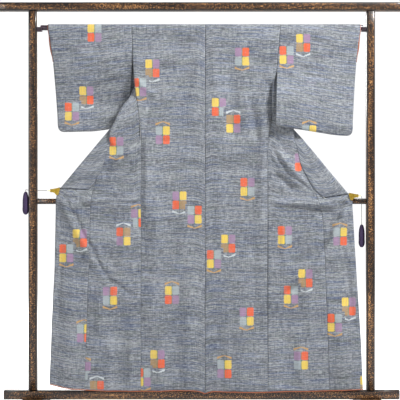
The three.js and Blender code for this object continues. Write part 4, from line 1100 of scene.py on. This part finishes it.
def fine_sleeve(side, spacing):
    rows = [sleeve_row(side, height, None, -1) for height in SLEEVE_HEIGHTS]
    rows += [sleeve_row(side, 450, angle, -1) for angle in OVER_ROD]
    rows += [sleeve_row(side, height, None, 1) for height in reversed(SLEEVE_HEIGHTS)]
    coarse = np.array(rows)
    # Both walls are cut into the same rows, so their edges can be sewn together.
    counts = counts_for(coarse, spacing)
    counts = [max(a, b) for a, b in zip(counts, reversed(counts))]
    grid = refine(coarse, counts)
    grid = refine_across(grid, counts_for(coarse, spacing, 1))
    half = sum(counts[:len(SLEEVE_HEIGHTS)])
    out, z = np.abs(grid[..., 0] - CENTRE_X), grid[..., 2]
    shift = relief(side, "sleeve", out, z) * smooth((1600 - z) / 60) * smooth((z - 1195) / 60)
    shift *= smooth((look(SLEEVE_OUTER[side], z) - out) / 40)
    on_near = (np.arange(len(grid)) < half)[:, None]
    grid[..., 1] += np.where(on_near, -shift, 0.6 * shift)
    return grid, half


class KIMONO_OT_sleeves(bpy.types.Operator):
    """Make the two sleeves, hung over the rod, closed at the foot and below the cuff"""
    bl_idname = "kimono.sleeves"
    bl_label = "Sleeves"

    def execute(self, context):
        spacing = context.scene.kimono_cloth.spacing / MM
        for side in SIDES:
            grid, half = fine_sleeve(side, spacing)
            rows, columns = grid.shape[:2]
            yarns = yarn_map(grid) + (CUT_FROM["sleeve"][side], 0.0)
            regions = np.full((rows - 1, 1), f"sleeve_{side}", dtype="<U20")
            regions[half + 4:] = f"sleeve_rear_{side}"
            # A strip of cloth joins the two walls along the outer edge below the cuff.
            sewn = [r for r in range(1, rows // 2) if grid[r, -1, 2] < CUFF_Z and r < half]
            count = rows * columns
            points, faces, maps = [], [], []
            for k, r in enumerate(sewn):
                near, far = grid[r, -1], grid[rows - 1 - r, -1]
                points.append((near + far) / 2 + (SIDES[side] * 1.4, 0, 0))
                maps.append(yarns[r, -1] + (0.003, 0))
                if k:
                    a, b = (r - 1) * columns + columns - 1, r * columns + columns - 1
                    c, d = (rows - r) * columns + columns - 1, (rows - 1 - r) * columns + columns - 1
                    faces.append((a, count + k - 1, count + k, b))
                    faces.append((count + k - 1, c, d, count + k))
            faces = np.array(faces)
            if side == "left":
                faces = faces[:, ::-1]
            extra = (np.array(points), faces, np.array(maps), f"seam_{side}")
            turned_in = np.zeros((rows - 1, columns - 1), bool)
            turned_in[:, :6] = True
            piece = cloth_piece(f"sleeve_cloth_{side}", grid, side == "left", regions, yarns, extra=extra,
                                turned_in=turned_in)
            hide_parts(f"sleeve_{side}")
            lining = self.cuff_lining(side, grid)
        return {"FINISHED"}

    def cuff_lining(self, side, grid):
        """The lining that stands a few millimetres past the sleeve's open edge, inside it."""
        open_rows = np.where(grid[:, -1, 2] > CUFF_Z + 2)[0]
        walls = grid[open_rows[0]:open_rows[-1] + 1]
        towards = np.zeros_like(walls[:, -1])
        centre_y = sleeve_swing(side, np.abs(walls[:, -1, 0] - CENTRE_X), walls[:, -1, 2])
        towards[:, 1] = centre_y - walls[:, -1, 1]
        towards[:, 2] = np.minimum(ROD_Z - walls[:, -1, 2], 0)
        towards /= np.linalg.norm(towards, axis=1, keepdims=True)
        # The far wall's lining bows out a little more, as a loose cuff does.
        along = np.linspace(0, 1, len(walls))
        shows = 2.5 + 6.0 * smooth((along - 0.5) / 0.25) * smooth((1 - along) / 0.2)
        columns = [walls[:, k] + towards * 1.5 for k in (-6, -5, -4, -3, -2, -1)]
        for share in (0.5, 1.0):
            edge = columns[5].copy()
            edge[:, 0] += SIDES[side] * shows * share
            columns.append(edge)
        strip = np.stack(columns, axis=1)
        faces = grid_faces(*strip.shape[:2], side == "left").reshape(-1, 4)
        piece = link(f"cuff_edge_{side}", mesh_of(f"cuff_edge_{side}", strip.reshape(-1, 3), faces), ["cuff"])
        solid = piece.modifiers.new("Lining wall", "SOLIDIFY")
        solid.thickness = 0.0008
        solid.offset = 0.0
        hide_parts(f"cuff_lining_{side}")
        return piece


# ---------------------------------------------------------------- stand

def bar_piece(name, node, material, axis):
    """A rounded bar with softened ends, in the CAD bar's own box."""
    low, high = (np.array(corner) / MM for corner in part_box(node))
    middle, half = (low + high) / 2, (high - low) / 2
    radius = bpy.context.scene.kimono_stand.edge_round / MM
    others = [i for i in range(3) if i != axis]
    radius = min(radius, 0.45 * half[others[0]], 0.45 * half[others[1]])
    section = []
    for quarter in range(4):
        sign_a, sign_b = ((1, 1), (-1, 1), (-1, -1), (1, -1))[quarter]
        for step in range(5):
            angle = math.radians(quarter * 90 + step * 22.5)
            section.append((sign_a * (half[others[0]] - radius) + radius * math.cos(angle),
                            sign_b * (half[others[1]] - radius) + radius * math.sin(angle)))
    section = np.array(section)
    rings = []
    soft = 2.0
    steps = np.linspace(-half[axis] + soft, half[axis] - soft, 24)
    for along, inset in [(-half[axis], soft), *[(step, 0) for step in steps], (half[axis], soft)]:
        shrink = 1 - inset / np.array([half[others[0]], half[others[1]]])
        ring = np.zeros((len(section), 3))
        ring[:, others[0]] = section[:, 0] * shrink[0]
        ring[:, others[1]] = section[:, 1] * shrink[1]
        ring[:, axis] = along
        rings.append(ring + middle)
    piece = tube(name, np.array(rings), material)
    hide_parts(node)
    return piece


def foot_piece(side):
    """A long foot with softly rounded shoulders, standing on the floor."""
    low, high = (np.array(corner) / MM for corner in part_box(f"stand_foot_{side}"))
    half = (high[1] - low[1]) / 2
    curve = [(half - 40 * (1 - t) ** 2 - 8 * t * (1 - t), 20 + 18 * (1 - t) * (1 + t))
             for t in np.linspace(1, 0, 6)]
    profile = [(half, 0.0), *curve, (70, 47)]
    profile = profile + [(-y, z) for y, z in reversed(profile)]
    rings = []
    for x, inset in ((low[0], 3.0), (low[0] + 1, 1.2), (low[0] + 3, 0), (high[0] - 3, 0), (high[0] - 1, 1.2),
                     (high[0], 3.0)):
        rings.append([(x, y * (1 - inset / half), max(z - inset, 0) if z > 0 else 0) for y, z in profile])
    piece = tube(f"foot_{side}", np.array(rings), "lacquer_bar")
    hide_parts(f"stand_foot_{side}")


class KIMONO_OT_stand(bpy.types.Operator):
    """Make the lacquered stand: feet, posts and rails"""
    bl_idname = "kimono.stand"
    bl_label = "Stand"

    def execute(self, context):
        bar_piece("top_bar", "stand_top_bar", "lacquer_bar", 0)
        bar_piece("middle_rail", "stand_middle_rail", "lacquer_bar", 0)
        bar_piece("lower_rail", "stand_lower_rail", "lacquer_bar", 0)
        for side in SIDES:
            bar_piece(f"post_{side}", f"stand_post_{side}", "lacquer_post", 2)
            foot_piece(side)
        return {"FINISHED"}


class KIMONO_OT_rod(bpy.types.Operator):
    """Make the round rod that the kimono hangs on, and finish its hooks"""
    bl_idname = "kimono.rod"
    bl_label = "Rod and hooks"

    def execute(self, context):
        ring = np.radians(np.arange(36) * 10)
        half = ROD_LENGTH / 2
        steps = [(-half, 8.5), (-half + 0.8, 10.6), (-half + 2.4, ROD_RADIUS)]
        steps += [(x, ROD_RADIUS) for x in np.linspace(-half + 40, half - 40, 20)]
        steps += [(half - 2.4, ROD_RADIUS), (half - 0.8, 10.6), (half, 8.5)]
        rings = [[(x, r * math.cos(a), ROD_Z + r * math.sin(a)) for a in ring] for x, r in steps]
        piece = tube("hanging_rod", np.array(rings), "dark_rod")
        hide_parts("rod")
        for side in SIDES:
            finish_node(f"rod_hook_{side}", "dark_rod")
        return {"FINISHED"}


def finish_node(node, material):
    """Gives a CAD node its finished material."""
    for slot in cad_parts[node].material_slots:
        slot.material = finish(material)


# ---------------------------------------------------------------- clips, cords and weights

def twisted_cord_tree():
    """Strands wound round a path. Inputs: strands, cord radius, strand radius, turns a metre."""
    tree = bpy.data.node_groups.new("Twisted cord", "GeometryNodeTree")
    for name, kind, default in (("Geometry", "NodeSocketGeometry", None), ("Strands", "NodeSocketInt", 3),
                                ("Lay radius", "NodeSocketFloat", 0.00062),
                                ("Strand radius", "NodeSocketFloat", 0.0006),
                                ("Turns a metre", "NodeSocketFloat", 130.0),
                                ("Material", "NodeSocketMaterial", None)):
        socket = tree.interface.new_socket(name, in_out="INPUT", socket_type=kind)
        if default is not None:
            socket.default_value = default
    tree.interface.new_socket("Geometry", in_out="OUTPUT", socket_type="NodeSocketGeometry")
    given = add(tree, "NodeGroupInput")
    path = add(tree, "GeometryNodeResampleCurve", {"Curve": given.outputs["Geometry"], "Length": 0.0009},
               mode="LENGTH")
    copies = add(tree, "GeometryNodeDuplicateElements",
                 {"Geometry": path, "Amount": given.outputs["Strands"]}, domain="SPLINE")
    along = add(tree, "GeometryNodeSplineParameter")
    turns = add(tree, MATH, {0: along.outputs["Length"], 1: given.outputs["Turns a metre"]},
                operation="MULTIPLY")
    start = add(tree, MATH, {0: copies.outputs["Duplicate Index"], 1: given.outputs["Strands"]},
                operation="DIVIDE")
    angle = add(tree, MATH, {0: turns, 1: start}, operation="ADD")
    angle = add(tree, MATH, {0: angle, 1: 2 * math.pi}, operation="MULTIPLY")
    normal = add(tree, "GeometryNodeInputNormal")
    tangent = add(tree, "GeometryNodeInputTangent")
    beside = add(tree, VECTOR, {0: tangent, 1: normal}, operation="CROSS_PRODUCT")
    first = add(tree, VECTOR, {0: normal, "Scale": add(tree, MATH, {0: angle}, operation="COSINE")},
                operation="SCALE")
    second = add(tree, VECTOR, {0: beside, "Scale": add(tree, MATH, {0: angle}, operation="SINE")},
                 operation="SCALE")
    both = add(tree, VECTOR, {0: first, 1: second}, operation="ADD")
    offset = add(tree, VECTOR, {0: both, "Scale": given.outputs["Lay radius"]}, operation="SCALE")
    laid = add(tree, "GeometryNodeSetPosition", {"Geometry": copies.outputs["Geometry"], "Offset": offset})
    section = add(tree, "GeometryNodeCurvePrimitiveCircle", {"Resolution": 6,
                                                             "Radius": given.outputs["Strand radius"]})
    solid = add(tree, "GeometryNodeCurveToMesh", {"Curve": laid, "Profile Curve": section, "Fill Caps": True})
    real = add(tree, "GeometryNodeRealizeInstances", {"Geometry": solid})
    done = add(tree, "GeometryNodeSetMaterial", {"Geometry": real, "Material": given.outputs["Material"]})
    add(tree, "NodeGroupOutput", {"Geometry": done})
    return tree


def smooth_path(points, each=10):
    """A smooth line through the points, leaving and reaching its ends straight."""
    points = np.array(points, float)[:, None, :]
    return refine(points, [each] * (len(points) - 1))[:, 0]


class KIMONO_OT_clips(bpy.types.Operator):
    """Make the gold clips, their twisted cords and the purple weights"""
    bl_idname = "kimono.clips"
    bl_label = "Clips, cords and weights"

    def execute(self, context):
        tree = twisted_cord_tree()
        strands = context.scene.kimono_stand.cord_strands
        for side in SIDES:
            finish_node(f"clip_{side}", "gold")
            self.make_cord(side, tree, strands)
            self.make_weight(side)
        return {"FINISHED"}

    def make_cord(self, side, tree, strands):
        points = smooth_path(CORDS[side]) * MM
        line = bpy.data.curves.new("cord path", "CURVE")
        line.dimensions = "3D"
        spline = line.splines.new("POLY")
        spline.points.add(len(points) - 1)
        spline.points.foreach_set("co", np.concatenate([points, np.ones((len(points), 1))], axis=1).ravel())
        guide = bpy.data.objects.new("cord path", line)
        bpy.context.scene.collection.objects.link(guide)
        twist = guide.modifiers.new("Twist", "NODES")
        twist.node_group = tree
        sockets = {item.name: item.identifier for item in tree.interface.items_tree if item.in_out == "INPUT"}
        twist[sockets["Strands"]] = strands
        twist[sockets["Material"]] = finish("cord")
        shown = guide.evaluated_get(bpy.context.evaluated_depsgraph_get())
        mesh = bpy.data.meshes.new_from_object(shown)
        bpy.data.objects.remove(guide)
        mesh.name = f"twisted_cord_{side}"
        piece = bpy.data.objects.new(mesh.name, mesh)
        bpy.context.scene.collection.objects.link(piece)
        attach(piece, "root")
        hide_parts(f"cord_{side}")

    def make_weight(self, side):
        x, y, top = WEIGHTS[side]
        middle = top - WEIGHT_LENGTH / 2
        profile = np.array([[(r, 0, z)] for r, z in WEIGHT_PROFILE], float)
        profile = refine(profile, [4] * (len(profile) - 1))
        ring = np.radians(np.arange(32) * 11.25)
        rings = []
        for (radius, _, z), in profile:
            radius = max(radius, 0.05)
            # Four sewn gores pull the crepe in along their seams.
            pull = 1 - 0.05 * np.exp(-((np.sin(2 * ring) / 0.25) ** 2)) * (radius > 3)
            rings.append(np.stack([x + radius * pull * np.cos(ring), y + radius * pull * np.sin(ring),
                                   np.full(len(ring), middle + z)], axis=-1))
        piece = tube(f"weight_bag_{side}", np.array(rings), "weight")
        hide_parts(f"weight_{side}")


# ---------------------------------------------------------------- stage

# In metres, millimetres of lens, and watts
CAMERA_PLACE = (-0.0072, -4.2, 0.8904)
LENS = 88.9
AIM = (0.0, 0.0, 1.0)
LIGHTS = (
    ("key", (2.6, -2.1, 4.2), 1.0, 390),
    ("fill", (-3.4, -3.4, 1.8), 2.6, 80),
    ("rear", (-1.5, 3.6, 3.0), 3.0, 220),
)
FLOOR_HALF = 30

class KIMONO_OT_stage(bpy.types.Operator):
    """Make the camera, the pale floor and the soft studio light"""
    bl_idname = "kimono.stage"
    bl_label = "Stage"

    def execute(self, context):
        scene = context.scene
        lens = bpy.data.cameras.new("camera")
        lens.lens = LENS
        lens.sensor_width = 36
        lens.clip_end = 60
        camera = bpy.data.objects.new("camera", lens)
        camera.location = CAMERA_PLACE
        camera.rotation_euler = (math.pi / 2, 0, 0)
        scene.collection.objects.link(camera)
        scene.camera = camera
        scene.view_settings.view_transform = "Standard"

        world = bpy.data.worlds.new("studio")
        world.use_nodes = True
        world.node_tree.nodes.clear()
        # A white backdrop that lights the object less than it shows
        seen = add(world.node_tree, "ShaderNodeLightPath")
        strength = add(world.node_tree, "ShaderNodeMapRange", {
            "Value": seen.outputs["Is Camera Ray"], "To Min": 0.36, "To Max": 1.05})
        glow = add(world.node_tree, "ShaderNodeBackground", {"Color": (1, 1, 1, 1), "Strength": strength})
        add(world.node_tree, "ShaderNodeOutputWorld", {"Surface": glow})
        scene.world = world

        for name, where, size, power in LIGHTS:
            light = bpy.data.lights.new(name, "AREA")
            light.shape = "SQUARE"
            light.size = size
            light.energy = power
            lamp = bpy.data.objects.new(name, light)
            lamp.location = where
            lamp.rotation_euler = (Vector(AIM) - Vector(where)).to_track_quat("-Z", "Y").to_euler()
            scene.collection.objects.link(lamp)

        floor = bpy.data.meshes.new("floor")
        corners = [(x * FLOOR_HALF, y * FLOOR_HALF, 0) for x, y in ((-1, -1), (1, -1), (1, 1), (-1, 1))]
        floor.from_pydata(corners, [], [(0, 1, 2, 3)])
        material, tree = new_material("pale studio floor")
        seen = add(tree, "ShaderNodeLightPath")
        shown = add(tree, "ShaderNodeMapRange", {
            "Value": seen.outputs["Is Camera Ray"], "To Min": 0.0, "To Max": 0.8})
        finish_material(tree, {"Base Color": (0.7, 0.7, 0.7, 1), "Roughness": 0.9,
                               "Emission Color": (1, 1, 1, 1), "Emission Strength": shown})
        floor.materials.append(material)
        ground = bpy.data.objects.new("floor", floor)
        scene.collection.objects.link(ground)
        return {"FINISHED"}


class KIMONO_PT_panel(bpy.types.Panel):
    """Lists the kimono's pieces and settings"""
    bl_label = "Kimono"
    bl_idname = "KIMONO_PT_panel"
    bl_space_type = "VIEW_3D"
    bl_region_type = "UI"
    bl_category = "Kimono"

    def draw(self, context):
        for group in (context.scene.kimono_cloth, context.scene.kimono_stand):
            for name in group.__annotations__:
                self.layout.prop(group, name)
        for operator in OPERATORS:
            self.layout.operator(operator.bl_idname)


OPERATORS = (KIMONO_OT_stage, KIMONO_OT_stand, KIMONO_OT_rod, KIMONO_OT_body, KIMONO_OT_okumi,
             KIMONO_OT_collar, KIMONO_OT_sleeves, KIMONO_OT_clips)
CLASSES = (ClothSettings, StandSettings, *OPERATORS, KIMONO_PT_panel)


def register():
    for item in CLASSES:
        bpy.utils.register_class(item)
    bpy.types.Scene.kimono_cloth = PointerProperty(type=ClothSettings)
    bpy.types.Scene.kimono_stand = PointerProperty(type=StandSettings)


def unregister():
    del bpy.types.Scene.kimono_stand
    del bpy.types.Scene.kimono_cloth
    for item in reversed(CLASSES):
        bpy.utils.unregister_class(item)


def main():
    register()
    bpy.ops.kimono.stage()
    bpy.ops.kimono.stand()
    bpy.ops.kimono.rod()
    bpy.ops.kimono.body()
    bpy.ops.kimono.okumi()
    bpy.ops.kimono.collar()
    bpy.ops.kimono.sleeves()
    bpy.ops.kimono.clips()
    bpy.context.view_layer.update()


if __name__ == "__main__":
    main()
